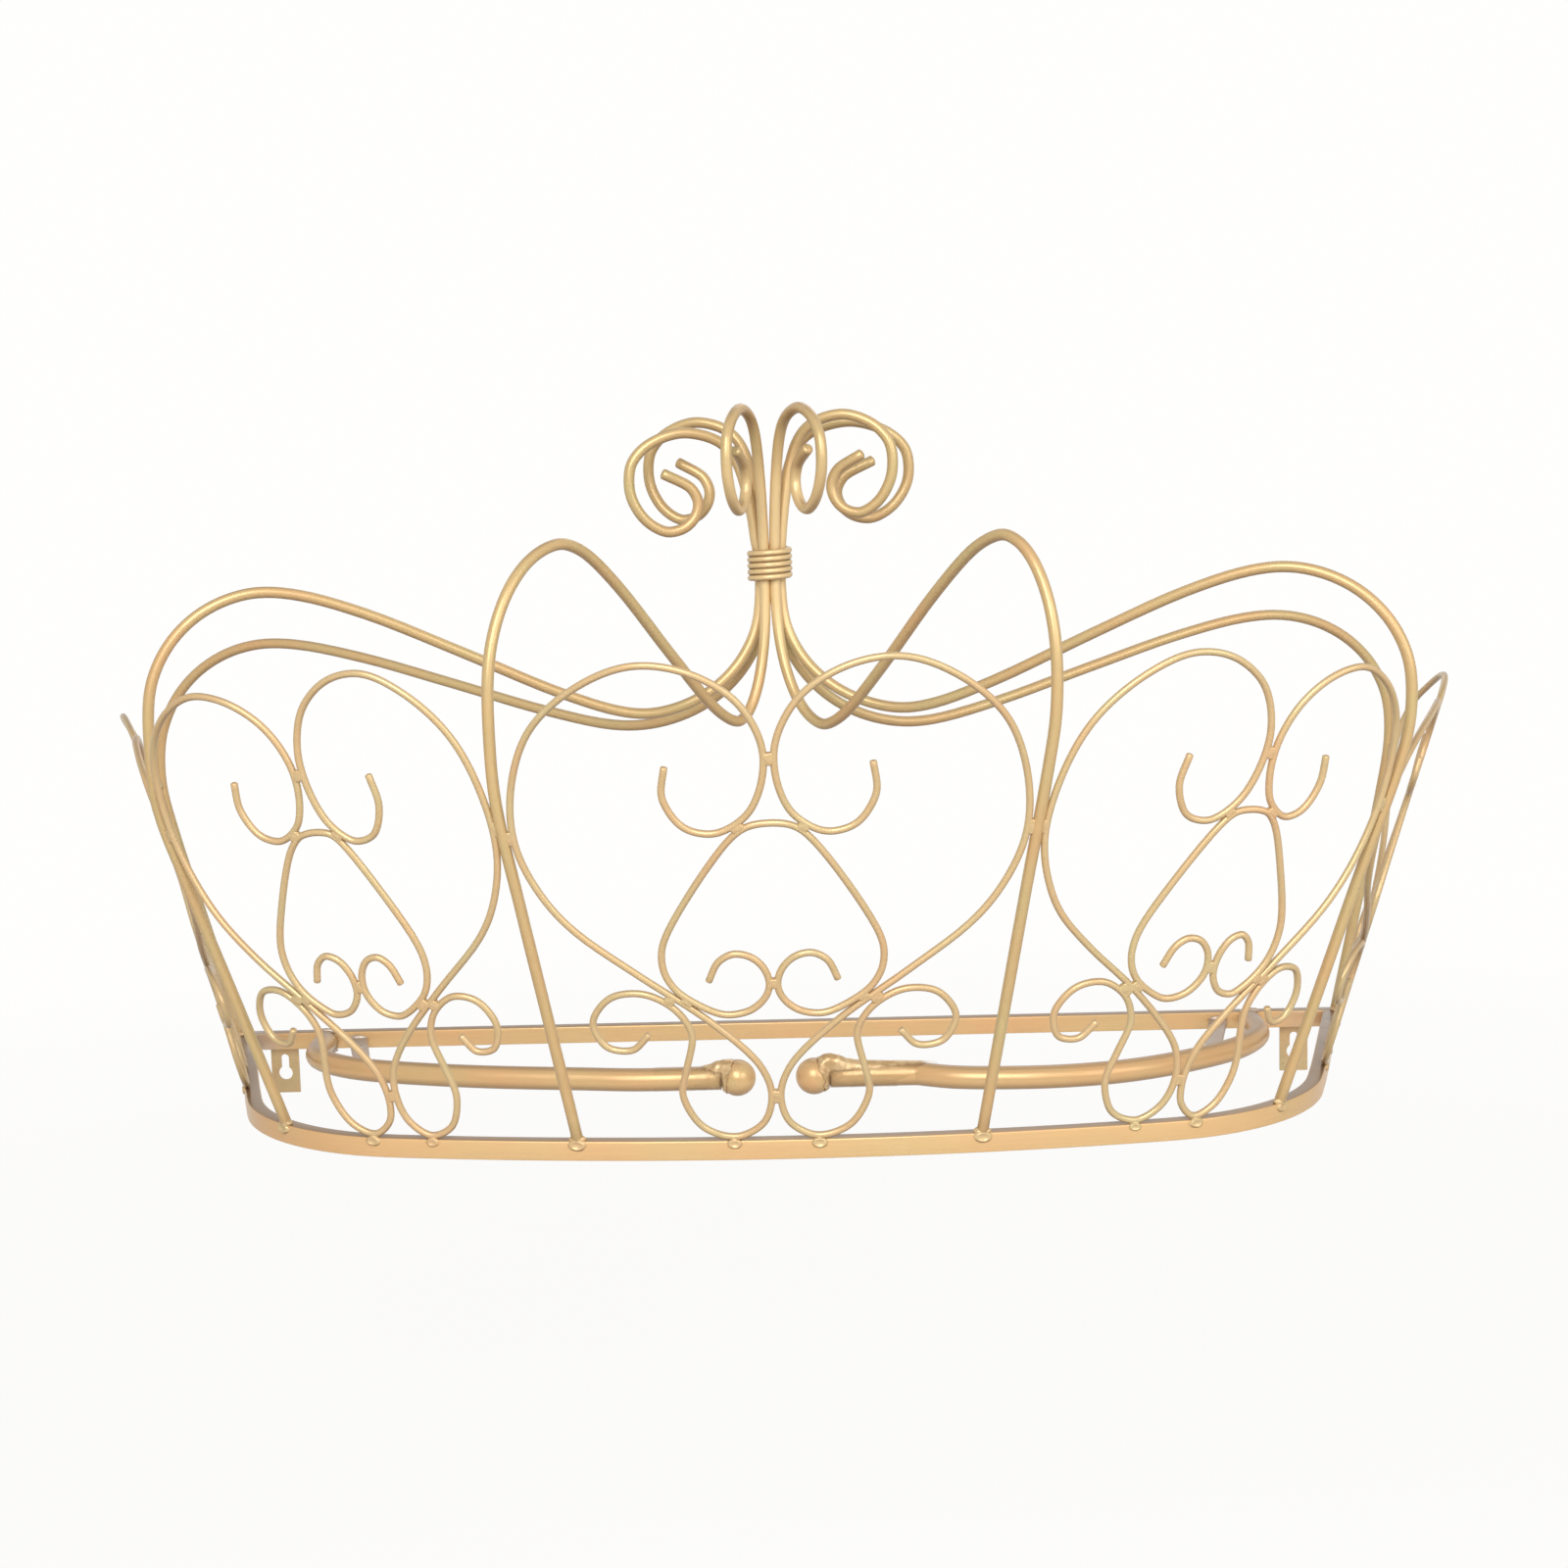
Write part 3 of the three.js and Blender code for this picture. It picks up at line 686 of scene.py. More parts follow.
def gold_finish(name, colour, grain, bump, painted_shade, thin=None, painted_light_at=None, streaked=0.24):
    """Satin gold paint: grain, clouds, painted shade on upper and lower faces, painted light at one place and
    thin patches.
    """
    found = bpy.data.materials.get(name)
    if found:
        return found
    finish = bpy.context.scene.crown_finish
    material, tree, shader = new_finish(name)
    grained = use_group(tree, "brushed_grain", **grain)
    clouds = ranged(tree, grained.outputs["Clouds"], 0.0, 1.0)
    colour_now = blend_colours(tree, clouds, tinted(colour, GREENISH_SHARES), tinted(colour, ROSY_SHARES))
    streaks = ranged(tree, grained.outputs["Grain"], *STREAK_ENDS)
    colour_now = blend_colours(tree, streaks, colour_now, tinted(colour, STREAK_SHARES), streaked)
    # Painted light: the middle of the crown between two heights is painted brighter
    if painted_light_at:
        place = painted_light_place(tree, **painted_light_at)
        colour_now = blend_colours(tree, place, colour_now, tinted(colour, PAINTED_LIGHT_SHARES))
    # Painted shade: faces that look up or down are painted towards the shade colour
    dark = use_group(tree, "shade_by_facing", **painted_shade)
    colour_now = blend_colours(tree, dark.outputs["Mask"], colour_now, finish.shade_colour)
    if thin:
        bare = use_group(tree, "thin_paint", **thin)
        colour_now = blend_colours(tree, bare.outputs["Mask"], colour_now, finish.bare_steel, BARE_SHARE)
    tree.links.new(colour_now, shader.inputs["Base Color"])
    shader.inputs["Metallic"].default_value = finish.metallic
    shader.inputs["Specular IOR Level"].default_value = finish.specular
    ends = (finish.roughness - SMOOTHER, finish.roughness + ROUGHER)
    rough = ranged(tree, grained.outputs["Clouds"], 0.0, 1.0, *ends)
    tree.links.new(rough, shader.inputs["Roughness"])
    if bump:
        add_bumps(tree, shader, grained.outputs["Grain"], bump, GRAIN_HEIGHT)
    return material


def rib_gold():
    """Yellow gold of the ribs and the binding, smooth, with soft clouds."""
    return gold_finish(
        "rib_gold",
        bpy.context.scene.crown_finish.rib_gold,
        grain={"Grain_Size": 0.007, "Stretch": 1.0, "Cloud_Size": 0.05},
        bump=0,
        painted_shade={"Upward": 0.6, "Upward_From": 0.6, "Downward": 0.85, "Downward_From": 0.1},
        # Painted light: the bundle of ribs is painted brighter
        painted_light_at={"half_width": 0.02, "low": 0.28, "high": 0.35, "ease": 0.025},
        streaked=0.2,
    )


def wire_gold():
    """Lighter gold of the scrolled wires and their welds."""
    return gold_finish(
        "wire_gold",
        bpy.context.scene.crown_finish.pale_gold,
        grain={"Grain_Size": 0.006, "Stretch": 1.0, "Cloud_Size": 0.04},
        bump=0,
        painted_shade={"Upward": 0.6, "Upward_From": 0.6, "Downward": 0.85, "Downward_From": 0.1},
        streaked=0.2,
    )


def flat_gold():
    """Gold of the band and the back bar, with streaks along them and painted shade on their upper faces."""
    return gold_finish(
        "flat_gold",
        bpy.context.scene.crown_finish.satin_gold,
        grain={"Grain_Size": 0.0011, "Stretch": 40.0, "Cloud_Size": 0.09},
        bump=0.1,
        # Painted shade: the upper faces of the band and bar are painted dark
        painted_shade={"Upward": 1.0, "Upward_From": 0.75, "Downward": 0.6, "Downward_From": 0.75},
        thin={"Start": 0.31, "Full": 0.352, "Depth": 0.13, "Patch_Size": 0.02},
    )


def tube_gold():
    """Gold of the curtain rods, drawn along their length, thin near the wall."""
    return gold_finish(
        "tube_gold",
        bpy.context.scene.crown_finish.satin_gold,
        grain={"Grain_Size": 0.0014, "Stretch": 30.0, "Cloud_Size": 0.07},
        bump=0.05,
        painted_shade={"Upward": 0.7, "Upward_From": 0.72, "Downward": 0.9, "Downward_From": 0.05},
        thin={"Start": 0.255, "Full": 0.29, "Depth": 0.08, "Patch_Size": 0.02},
    )


def ball_gold():
    """Gold of the balls, a little smoother."""
    return gold_finish(
        "ball_gold",
        bpy.context.scene.crown_finish.satin_gold,
        grain={"Grain_Size": 0.0016, "Stretch": 1.0, "Cloud_Size": 0.012},
        bump=0.04,
        painted_shade={"Upward": 0.5, "Upward_From": 0.75, "Downward": 0.8, "Downward_From": 0.1},
    )


def thin_gold():
    """Thin gold over grey steel, of the straps and the corner welds."""
    return gold_finish(
        "thin_gold",
        bpy.context.scene.crown_finish.bare_steel,
        grain={"Grain_Size": 0.0012, "Stretch": 8.0, "Cloud_Size": 0.012},
        bump=0.15,
        painted_shade={"Upward": 0.2, "Upward_From": 0.6, "Downward": 0.5, "Downward_From": 0.6},
    )


def plate_gold():
    """Yellow gold of the stamped hanging plates."""
    return gold_finish(
        "plate_gold",
        bpy.context.scene.crown_finish.pale_gold,
        grain={"Grain_Size": 0.0012, "Stretch": 6.0, "Cloud_Size": 0.02},
        bump=0.12,
        painted_shade={"Upward": 0.0, "Upward_From": 0.6, "Downward": 0.6, "Downward_From": 0.6},
        streaked=0.48,
    )


def wrinkled_film(axis_y, middle_x, rod_end):
    """Clear wrinkled film, see-through where it is tight and gold in its folds, with painted shade of the gap
    over the rods' ends.
    """
    found = bpy.data.materials.get("wrinkled_film")
    if found:
        return found
    finish = bpy.context.scene.crown_finish
    material, tree, shader = new_finish("wrinkled_film")
    place, parts = object_place(tree)
    wrinkles = noise_texture(tree, place, 170, 2, 1.0)
    creases = ranged(tree, wrinkles, *CREASE_ENDS)
    across = maths(tree, "SUBTRACT", parts["Y"], axis_y)
    away = maths(tree, "SQRT", maths(tree, "ADD", squared(tree, across), squared(tree, parts["Z"])))
    folded = ranged(tree, away, *FOLD_ENDS)
    colour = blend_colours(tree, creases, tinted(finish.satin_gold, CREASE_SHARES), finish.film)
    # Painted shade: the gap between the ball and the end of the rod is painted as a short dark line below the
    # fold
    outward = maths(tree, "ABSOLUTE", maths(tree, "SUBTRACT", parts["X"], middle_x))
    from_end = maths(tree, "ABSOLUTE", maths(tree, "SUBTRACT", outward, rod_end))
    level = maths(tree, "ABSOLUTE", maths(tree, "ADD", parts["Z"], SEAM_DROP))
    near = ranged(tree, level, *SEAM_HEIGHTS, 1.0, 0.0)
    gap_shade = maths(tree, "MULTIPLY", ranged(tree, from_end, *SEAM_WIDTHS, 1.0, 0.0), near)
    colour = blend_colours(tree, gap_shade, colour, tinted(finish.shade_colour, GAP_SHADE_SHARES))
    tree.links.new(colour, shader.inputs["Base Color"])
    shader.inputs["Metallic"].default_value = finish.metallic
    shader.inputs["Specular IOR Level"].default_value = finish.specular
    shader.inputs["Roughness"].default_value = 0.28
    thick = maths(tree, "MAXIMUM", folded, maths(tree, "MULTIPLY", creases, CREASE_OPACITY))
    thick = maths(tree, "MAXIMUM", thick, maths(tree, "MULTIPLY", gap_shade, GAP_SHADE_OPACITY))
    tree.links.new(ranged(tree, thick, 0.0, 1.0, *FILM_OPACITY), shader.inputs["Alpha"])
    add_bumps(tree, shader, wrinkles, 0.35, WRINKLE_HEIGHT)
    return material


def squared(tree, value):
    """A value times itself, as an output."""
    return maths(tree, "MULTIPLY", value, value)


# Places where the wires touch


def bar_lines(settings):
    """Dense centre lines of the ribs and scrolls by name, with their radii."""
    lines = {}
    for name in RIBS + SCROLLS:
        diameter = settings.rib_diameter if name in RIBS else settings.wire_diameter
        lines[name] = (smooth_line(centre_line(name, BAR_CORNERS), settings.steps_per_ring), diameter / 2)
    return lines


def evened(line, spacing):
    """A line as points at an even spacing."""
    points = [line[0]]
    left = spacing
    for start, end in zip(line, line[1:]):
        length = (end - start).length
        at = left
        while at <= length:
            points.append(start.lerp(end, at / length))
            at += spacing
        left = at - length
    return points


def touches(one, other, limit):
    """The closest places of two lines, one for each stretch that comes within the limit."""
    tree = kdtree.KDTree(len(other))
    for i, place in enumerate(other):
        tree.insert(place, i)
    tree.balance()
    found = []
    run = []
    for i, place in enumerate(one):
        _, index, distance = tree.find(place)
        if distance < limit:
            run.append((distance, i, index))
        elif run:
            found.append(min(run))
            run = []
    if run:
        found.append(min(run))
    return found


def self_touches(line, limit, apart):
    """The closest places of a line to itself, between points that are some steps apart along it."""
    best = None
    for i, place in enumerate(line):
        for j in range(i + apart, len(line)):
            distance = (line[j] - place).length
            if distance < limit and (best is None or distance < best[0]):
                best = (distance, i, j)
    return [best] if best else []


# Operators


class CROWN_OT_bend_ribs(bpy.types.Operator):
    """Bend the six round ribs with their curls"""

    bl_idname = "crown.bend_ribs"
    bl_label = "Bend ribs"

    def execute(self, context):
        settings = context.scene.crown_bars
        for seed, name in enumerate(RIBS):
            line = smooth_line(centre_line(name, BAR_CORNERS), settings.steps_per_ring)
            solid = round_bar(line, settings.rib_diameter / 2, settings, seed)
            new_piece(f"bent_{name}", solid, rib_gold(), "satin_gold", name)
        return {"FINISHED"}


class CROWN_OT_bend_scrolls(bpy.types.Operator):
    """Bend the heart and pear wires of the panels"""

    bl_idname = "crown.bend_scrolls"
    bl_label = "Bend scrolls"

    def execute(self, context):
        settings = context.scene.crown_bars
        for seed, name in enumerate(SCROLLS):
            line = smooth_line(centre_line(name, BAR_CORNERS), settings.steps_per_ring)
            solid = round_bar(line, settings.wire_diameter / 2, settings, len(RIBS) + seed)
            new_piece(f"scroll_{name}", solid, wire_gold(), "pale_gold", name)
        return {"FINISHED"}


class CROWN_OT_roll_band(bpy.types.Operator):
    """Roll the band of the front"""

    bl_idname = "crown.roll_band"
    bl_label = "Roll band"

    def execute(self, context):
        settings = context.scene.crown_bars
        outer, inner = band_lines("front_band", settings.steps_per_ring)
        half_height = height_of("front_band") / 2
        solid = bmesh.new()
        rings = []
        for out_place, in_place in zip(outer, inner):
            section = eased_section(out_place, in_place, half_height, settings.edge_radius)
            rings.append(add_ring(solid, section))
        for one, other in zip(rings, rings[1:]):
            join_rings(solid, one, other)
        for ring in (rings[0], rings[-1]):
            close_ring(solid, ring, sum((vert.co for vert in ring), Vector()) / len(ring))
        new_piece("rolled_band", solid, flat_gold(), "satin_gold", "front_band")
        return {"FINISHED"}


def band_lines(name, steps):
    """Smooth outer and inner lines of the band at half its height, from one end to the other."""
    solid = merged_solid(name)
    low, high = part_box(name)
    middle_y = (low[1] + high[1]) / 2
    top = [vert.co for vert in solid.verts if vert.co.z > high[2] - TOUCH]
    ordered = sorted(top, key=lambda place: math.atan2(place.x, middle_y - place.y))
    pairs = list(zip(ordered[::2], ordered[1::2]))
    outer = []
    inner = []
    for one, other in pairs:
        far, near = sorted((one, other), key=lambda place: -math.hypot(place.x, place.y - middle_y))
        outer.append(Vector((far.x, far.y, 0)))
        inner.append(Vector((near.x, near.y, 0)))
    solid.free()
    return smooth_line(outer, steps), smooth_line(inner, steps)


def eased_section(outer, inner, half_height, radius):
    """Corners of a bar's section with rounded edges, from its outer to its inner side."""
    across = (inner - outer).normalized() * radius
    up = Vector((0, 0, radius))
    tall = Vector((0, 0, half_height))
    places = []
    for corner, inward, upward in (
        (outer + tall, across, -up),
        (inner + tall, -across, -up),
        (inner - tall, -across, up),
        (outer - tall, across, up),
    ):
        turns = (0, 30, 60, 90)
        arc = [
            corner + inward * (1 - math.sin(math.radians(turn))) + upward * (1 - math.cos(math.radians(turn)))
            for turn in turns
        ]
        clockwise = inward.cross(upward).dot((inner - outer).cross(tall)) > 0
        places += arc if clockwise else arc[::-1]
    return places


class CROWN_OT_cut_bar(bpy.types.Operator):
    """Cut the back bar that lies on the wall"""

    bl_idname = "crown.cut_bar"
    bl_label = "Cut back bar"

    def execute(self, context):
        solid = eased_copy("back_bar", context.scene.crown_bars.edge_radius)
        new_piece("wall_bar", solid, flat_gold(), "satin_gold", "back_bar")
        return {"FINISHED"}


class CROWN_OT_wind_binding(bpy.types.Operator):
    """Wind the wire round the bundle of ribs"""

    bl_idname = "crown.wind_binding"
    bl_label = "Wind binding"

    def execute(self, context):
        settings = context.scene.crown_bars
        turns = centre_line("binding", BAR_CORNERS)
        # Both ends are tucked behind the bundle, a quarter turn on
        quarter = round((len(turns) - 1) / BINDING_TURNS / 4)
        rise = turns[-1] - turns[0]
        tucked = turns[quarter:] + [place + rise for place in turns[1 : quarter + 1]]
        line = smooth_line(tucked, BINDING_STEPS)
        solid = round_bar(line, settings.binding_diameter / 2, settings, 0)
        new_piece("wound_binding", solid, rib_gold(), "satin_gold", "binding")
        return {"FINISHED"}


class CROWN_OT_bend_curtain_rods(bpy.types.Operator):
    """Bend the two hollow curtain rods"""

    bl_idname = "crown.bend_curtain_rods"
    bl_label = "Bend curtain rods"

    def execute(self, context):
        settings = context.scene.crown_bars
        for side in SIDES:
            name = f"curtain_rod_{side}"
            line = smooth_line(centre_line(name, TUBE_CORNERS), settings.steps_per_ring)
            solid = round_tube(line, settings.tube_diameter / 2, settings.tube_bore / 2, settings)
            new_piece(f"bent_{name}", solid, tube_gold(), "satin_gold", name)
        return {"FINISHED"}


class CROWN_OT_turn_balls(bpy.types.Operator):
    """Turn the ball finials with their spigots"""

    bl_idname = "crown.turn_balls"
    bl_label = "Turn balls"

    def execute(self, context):
        for side in SIDES:
            name = f"ball_finial_{side}"
            centre, radius, spigot_radius, spigot_end = ball_sizes(name, SIDES[side])
            neck = math.pi - math.asin(spigot_radius / radius)
            outline = [
                (-radius * math.cos(neck * i / BALL_RINGS), radius * math.sin(neck * i / BALL_RINGS))
                for i in range(1, BALL_RINGS + 1)
            ]
            ease = spigot_radius / 8
            outline += [(spigot_end - ease, spigot_radius), (spigot_end, spigot_radius - ease)]
            solid = bmesh.new()
            outward, across, up = Vector((SIDES[side], 0, 0)), Vector((0, 1, 0)), Vector((0, 0, 1))
            turned = [
                add_ring(solid, round_ring(centre + outward * along, across, up, size, BALL_SIDES))
                for along, size in outline
            ]
            for one, other in zip(turned, turned[1:]):
                join_rings(solid, one, other)
            close_ring(solid, turned[0], centre - outward * radius)
            close_ring(solid, turned[-1], centre + outward * spigot_end)
            new_piece(f"turned_{name}", solid, ball_gold(), "satin_gold", name, body=f"finial_{side}")
        return {"FINISHED"}


def ball_sizes(name, side):
    """Centre and radius of a ball, and the radius and reach of its spigot, from the frame."""
    low, high = (Vector(corner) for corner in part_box(name))
    radius = (high.z - low.z) / 2
    tip = low.x if side > 0 else high.x
    centre = Vector((tip + side * radius, (low.y + high.y) / 2, (low.z + high.z) / 2))
    solid = merged_solid(name)
    end = high.x if side > 0 else low.x
    rim = [vert.co for vert in solid.verts if abs(vert.co.x - end) < TOUCH]
    spigot_radius = max(math.hypot(place.y - centre.y, place.z - centre.z) for place in rim)
    solid.free()
    return centre, radius, spigot_radius, abs(end - centre.x)


class CROWN_OT_wrap_film(bpy.types.Operator):
    """Wrap the crinkled clear film round the ends of the curtain rods"""

    bl_idname = "crown.wrap_film"
    bl_label = "Wrap film"

    def execute(self, context):
        left_low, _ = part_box("film_sleeve_left")
        _, right_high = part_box("film_sleeve_right")
        middle_x = (left_low[0] + right_high[0]) / 2
        settings = context.scene.crown_bars
        for side in SIDES:
            name = f"film_sleeve_{side}"
            low, high = (Vector(corner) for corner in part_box(name))
            axis = Vector((0, (low.y + high.y) / 2, (low.z + high.z) / 2))
            axis.x = low.x if SIDES[side] > 0 else high.x
            ball = ball_sizes(f"ball_finial_{side}", SIDES[side])
            solid = film_solid(axis, SIDES[side], high.x - low.x, ball, settings, FILM_FOLDS[side])
            film = wrinkled_film(axis.y, middle_x, abs(axis.x - middle_x))
            new_piece(f"crinkled_{name}", solid, film, "clear_film", name)
        return {"FINISHED"}


# The fold of the film above the rod: distance from the end of the rod and height above its axis, in
# metres, how far the film runs on past its sleeve, and the height of the wrinkles
FILM_FOLDS = {
    "left": {
        "crest": [
            (-0.0095, 0.0106), (-0.0055, 0.0116), (-0.0015, 0.0119), (0.0015, 0.0112),
            (0.0074, 0.0085), (0.0133, 0.0075), (0.02, 0.0072), (0.06, 0.0072),
        ],
        "further": 0.0,
        "wrinkle": 0.0003,
    },
    "right": {
        "crest": [
            (-0.0095, 0.0108), (-0.0074, 0.0117), (-0.003, 0.0138), (0.0, 0.0142),
            (0.0044, 0.0134), (0.0103, 0.0111), (0.0162, 0.0098), (0.022, 0.0093),
            (0.037, 0.0087), (0.0515, 0.0082), (0.064, 0.0072), (0.08, 0.0072),
        ],
        "further": 0.024,
        "wrinkle": 0.0006,
    },
}

# The film's gaps to the tube and to the ball, its thickness, and how ragged its rims are, in metres
FILM_TUBE_GAP = 0.00012
FILM_BALL_GAP = 0.0003
FILM_THICKNESS = 0.00022
FILM_RAG = 0.0014

# Rings along the film, points round each ring, and how much closer the rings lie towards the ball
FILM_RINGS = 90
FILM_POINTS = 96
FILM_CROWDING = 1.25

# The film's rim on the ball, as a share of the way to its middle, and how much farther it is at the top
RIM_SHARE = 0.35
RIM_RISE = 0.45

# How far the fold leans up and forward, and how sharply it stands out round the rod
FOLD_UP = 0.97
FOLD_FORWARD = 0.24
FOLD_SHARPNESS = 7

# Difference of two radii within which the film eases from the rod onto the ball, in metres
FILM_BLEND = 0.003

# How fine the crumples are along the film, in a metre, and round it, and the share of the smaller ones
# and how much finer they are
CRUMPLES_ALONG = 130
CRUMPLES_ROUND = 2.2
FINE_SHARE = 0.4
FINENESS = 2.3

# Distances over which crumples grow off the rod and away from the rim, and the film's slack, in metres
LOOSE_HEIGHT = 0.0015
RIM_CALM = 0.002
FILM_SLACK = 0.00006

# Where the creases begin to run out, measured from the rod's end, over what length and by what share
CREASES_FADE_FROM = 0.004
CREASES_FADE_OVER = 0.014
CREASES_LOST = 0.85


def limited(share):
    """A share kept between 0 and 1."""
    return min(1, max(0, share))


def at_place(table, place):
    """Value of a table of places and values at a place, eased between its rows."""
    for (start, first), (end, last) in zip(table, table[1:]):
        if place <= end:
            share = limited((place - start) / (end - start))
            return mix(first, last, share * share * (3 - 2 * share))
    return table[-1][1]


def smooth_most(one, other, ease):
    """The larger of two numbers, eased where they are close."""
    share = limited(0.5 + 0.5 * (one - other) / ease)
    return mix(other, one, share) + ease * share * (1 - share)


def film_solid(start, side, length, ball, settings, fold):
    """A thin skin, tight on the rod, drawn over the back of the ball, with a crumpled fold above both."""
    centre, ball_radius, _, _ = ball
    ball_along = (centre.x - start.x) * side
    snug = settings.tube_diameter / 2 + FILM_TUBE_GAP
    solid = bmesh.new()
    skins = []
    for lift in (FILM_THICKNESS, 0):
        rings = []
        for i in range(FILM_RINGS + 1):
            places = []
            for j in range(FILM_POINTS):
                angle = math.tau * j / FILM_POINTS
                out = Vector((0, math.cos(angle), math.sin(angle)))
                top = max(0, out.z * FOLD_UP - out.y * FOLD_FORWARD)
                ragged = noise.noise(out * 3 + Vector((side * 5, 0, 0))) * FILM_RAG
                first = ball_along * (RIM_SHARE + RIM_RISE * top**2) + ragged
                last = length + fold["further"] * top + ragged
                along = mix(first, last, (i / FILM_RINGS) ** FILM_CROWDING)
                reach = ball_radius**2 - (along - ball_along) ** 2
                shell = math.sqrt(max(0, reach)) + FILM_BALL_GAP
                radius = smooth_most(snug, shell, FILM_BLEND)
                crest = at_place(fold["crest"], along)
                radius = mix(radius, max(radius, crest), top**FOLD_SHARPNESS)
                round_it = (out.y * CRUMPLES_ROUND + side * 7, out.z * CRUMPLES_ROUND)
                spot = Vector((along * CRUMPLES_ALONG, *round_it))
                crumple = noise.noise(spot) + FINE_SHARE * noise.noise(spot * FINENESS)
                # The creases run out into one long smooth fold away from the ball
                crumple *= 1 - CREASES_LOST * limited((along - CREASES_FADE_FROM) / CREASES_FADE_OVER)
                loose = limited((radius - snug) / LOOSE_HEIGHT) * limited((along - first) / RIM_CALM)
                radius += fold["wrinkle"] * crumple * loose + FILM_SLACK * (1 + crumple)
                places.append(start + Vector((side * along, 0, 0)) + out * (radius + lift))
            rings.append(add_ring(solid, places))
        for one, other in zip(rings, rings[1:]):
            join_rings(solid, one, other)
        skins.append(rings)
    for end in (0, -1):
        join_rings(solid, skins[0][end], skins[1][end])
    return solid


class CROWN_OT_cut_fittings(bpy.types.Operator):
    """Cut the straps of the rods and the keyhole plates"""

    bl_idname = "crown.cut_fittings"
    bl_label = "Cut fittings"

    def execute(self, context):
        settings = context.scene.crown_bars
        for side in SIDES:
            for node_name, piece_name, finish in (
                (f"rod_strap_{side}", f"welded_strap_{side}", thin_gold),
                (f"keyhole_plate_{side}", f"hanging_plate_{side}", plate_gold),
            ):
                solid = eased_copy(node_name, settings.edge_radius * FITTING_EDGE_SHARE)
                piece = new_piece(piece_name, solid, finish(), "rubbed_gold", node_name)
                piece.data.set_sharp_from_angle(angle=SHARP_ANGLE)
        return {"FINISHED"}


# A bead's skin: how much it varies and how finely, where its raised rim lies and how wide the rim and
# the dish are, as shares of its half width, and how deep the dish is, as a share of the rim's height
BEAD_SPREAD = 0.1
BEAD_FINENESS = 1.7
RIM_AT = 0.72
RIM_WIDTH = 0.16
DISH_WIDTH = 0.42
DISH_SHARE = 0.9


def add_bead(solid, place, along, across, half_sizes, seed, square=0.0, rim=0.0):
    """A lump of weld with its own irregular skin, squarer or with a raised rim where asked."""
    along = along.normalized()
    across = (across - along * across.dot(along)).normalized()
    deep = along.cross(across)
    made = bmesh.ops.create_icosphere(solid, subdivisions=4, radius=1)
    turn = Matrix((along, across, deep)).transposed()
    for vert in made["verts"]:
        unit = vert.co.copy()
        rough = 1 + BEAD_SPREAD * noise.noise(unit * BEAD_FINENESS + Vector((seed, 0, 0)))
        widest = max(abs(axis) for axis in unit)
        shaped = unit * mix(1, 1 / widest, square)
        reach = math.hypot(unit.x, unit.z)
        raised = math.exp(-(((reach - RIM_AT) / RIM_WIDTH) ** 2))
        dished = DISH_SHARE * math.exp(-((reach / DISH_WIDTH) ** 2))
        scaled = Vector([axis * half * rough for axis, half in zip(shaped, half_sizes)])
        scaled.y *= 1 + rim * (raised - dished)
        vert.co = place + turn @ scaled


# Distance between the points of a wire at which a touch is looked for, in metres
WELD_SPACING = 0.001


class CROWN_OT_lay_welds(bpy.types.Operator):
    """Lay the weld beads where wires, ribs and the band touch"""

    bl_idname = "crown.lay_welds"
    bl_label = "Lay welds"

    def execute(self, context):
        welds = context.scene.crown_welds
        lines = bar_lines(context.scene.crown_bars)
        even = {name: (evened(line, WELD_SPACING), radius) for name, (line, radius) in lines.items()}
        lay_scroll_welds(even, welds)
        lay_band_welds(even, welds)
        lay_corner_welds()
        return {"FINISHED"}


# Shortest run of wire between two places where it touches itself, how much wider a pad's half width is
# than half the distance of the wires, in metres, and its half thickness as a share of the thinner radius
OWN_LOOP = 0.03
PAD_OVERLAP = 0.0001
PAD_THICKNESS_SHARE = 1.05

# How much the length of a pad varies, how much longer it is at a rib, and how square it is
PAD_LENGTH_SPREAD = 0.3
RIB_PAD_STRETCH = 1.25
PAD_SQUARENESS = 0.65


def lay_scroll_welds(even, welds):
    """Pads between wires, and between wires and ribs."""
    solid = bmesh.new()
    seed = 0
    names = sorted(even)
    for i, one in enumerate(names):
        for other in names[i:]:
            if one in RIBS and other in RIBS:
                continue
            (line, radius), (other_line, other_radius) = even[one], even[other]
            reach = welds.rib_reach if {one, other} & set(RIBS) else welds.reach
            limit = radius + other_radius + reach
            if one == other:
                found = self_touches(line, limit, round(OWN_LOOP / WELD_SPACING))
            else:
                found = touches(line, other_line, limit)
            for distance, at, other_at in found:
                seed += 1
                place = line[at].lerp(other_line[other_at], radius / (radius + other_radius))
                along = (line[min(at + 2, len(line) - 1)] - line[max(at - 2, 0)]).normalized()
                across = other_line[other_at] - line[at]
                thick = min(radius, other_radius)
                stretch = 1 + PAD_LENGTH_SPREAD * noise.noise(Vector((seed * 1.7, 0, 0)))
                stretch *= RIB_PAD_STRETCH if {one, other} & set(RIBS) else 1
                half_width = distance * 0.5 + PAD_OVERLAP
                half_sizes = (welds.bead_length * stretch, half_width, thick * PAD_THICKNESS_SHARE)
                add_bead(solid, place, along, across, half_sizes, seed, square=PAD_SQUARENESS)
    new_piece("scroll_welds", solid, wire_gold(), "pale_gold")


# Beads on the face of the band: how much larger than their setting they are, by what share they vary,
# and their depth, height and drop as shares of their half width
FACE_BEAD_SHARE = 1.12
FACE_BEAD_SPREAD = 0.35
FACE_DEPTH = 0.3
FACE_HEIGHT = 0.66
FACE_DROP = 0.42

# Fillets between a wire and the band, in radii of the wire: half sizes, set-back and rise
FILLET_SIZES = (1.55, 0.95, 0.8)
FILLET_SETBACK = 0.5
FILLET_RISE = 0.25

# Highest place above the band at which a wire still counts as standing on it, in its radii
FOOT_HEIGHT = 3


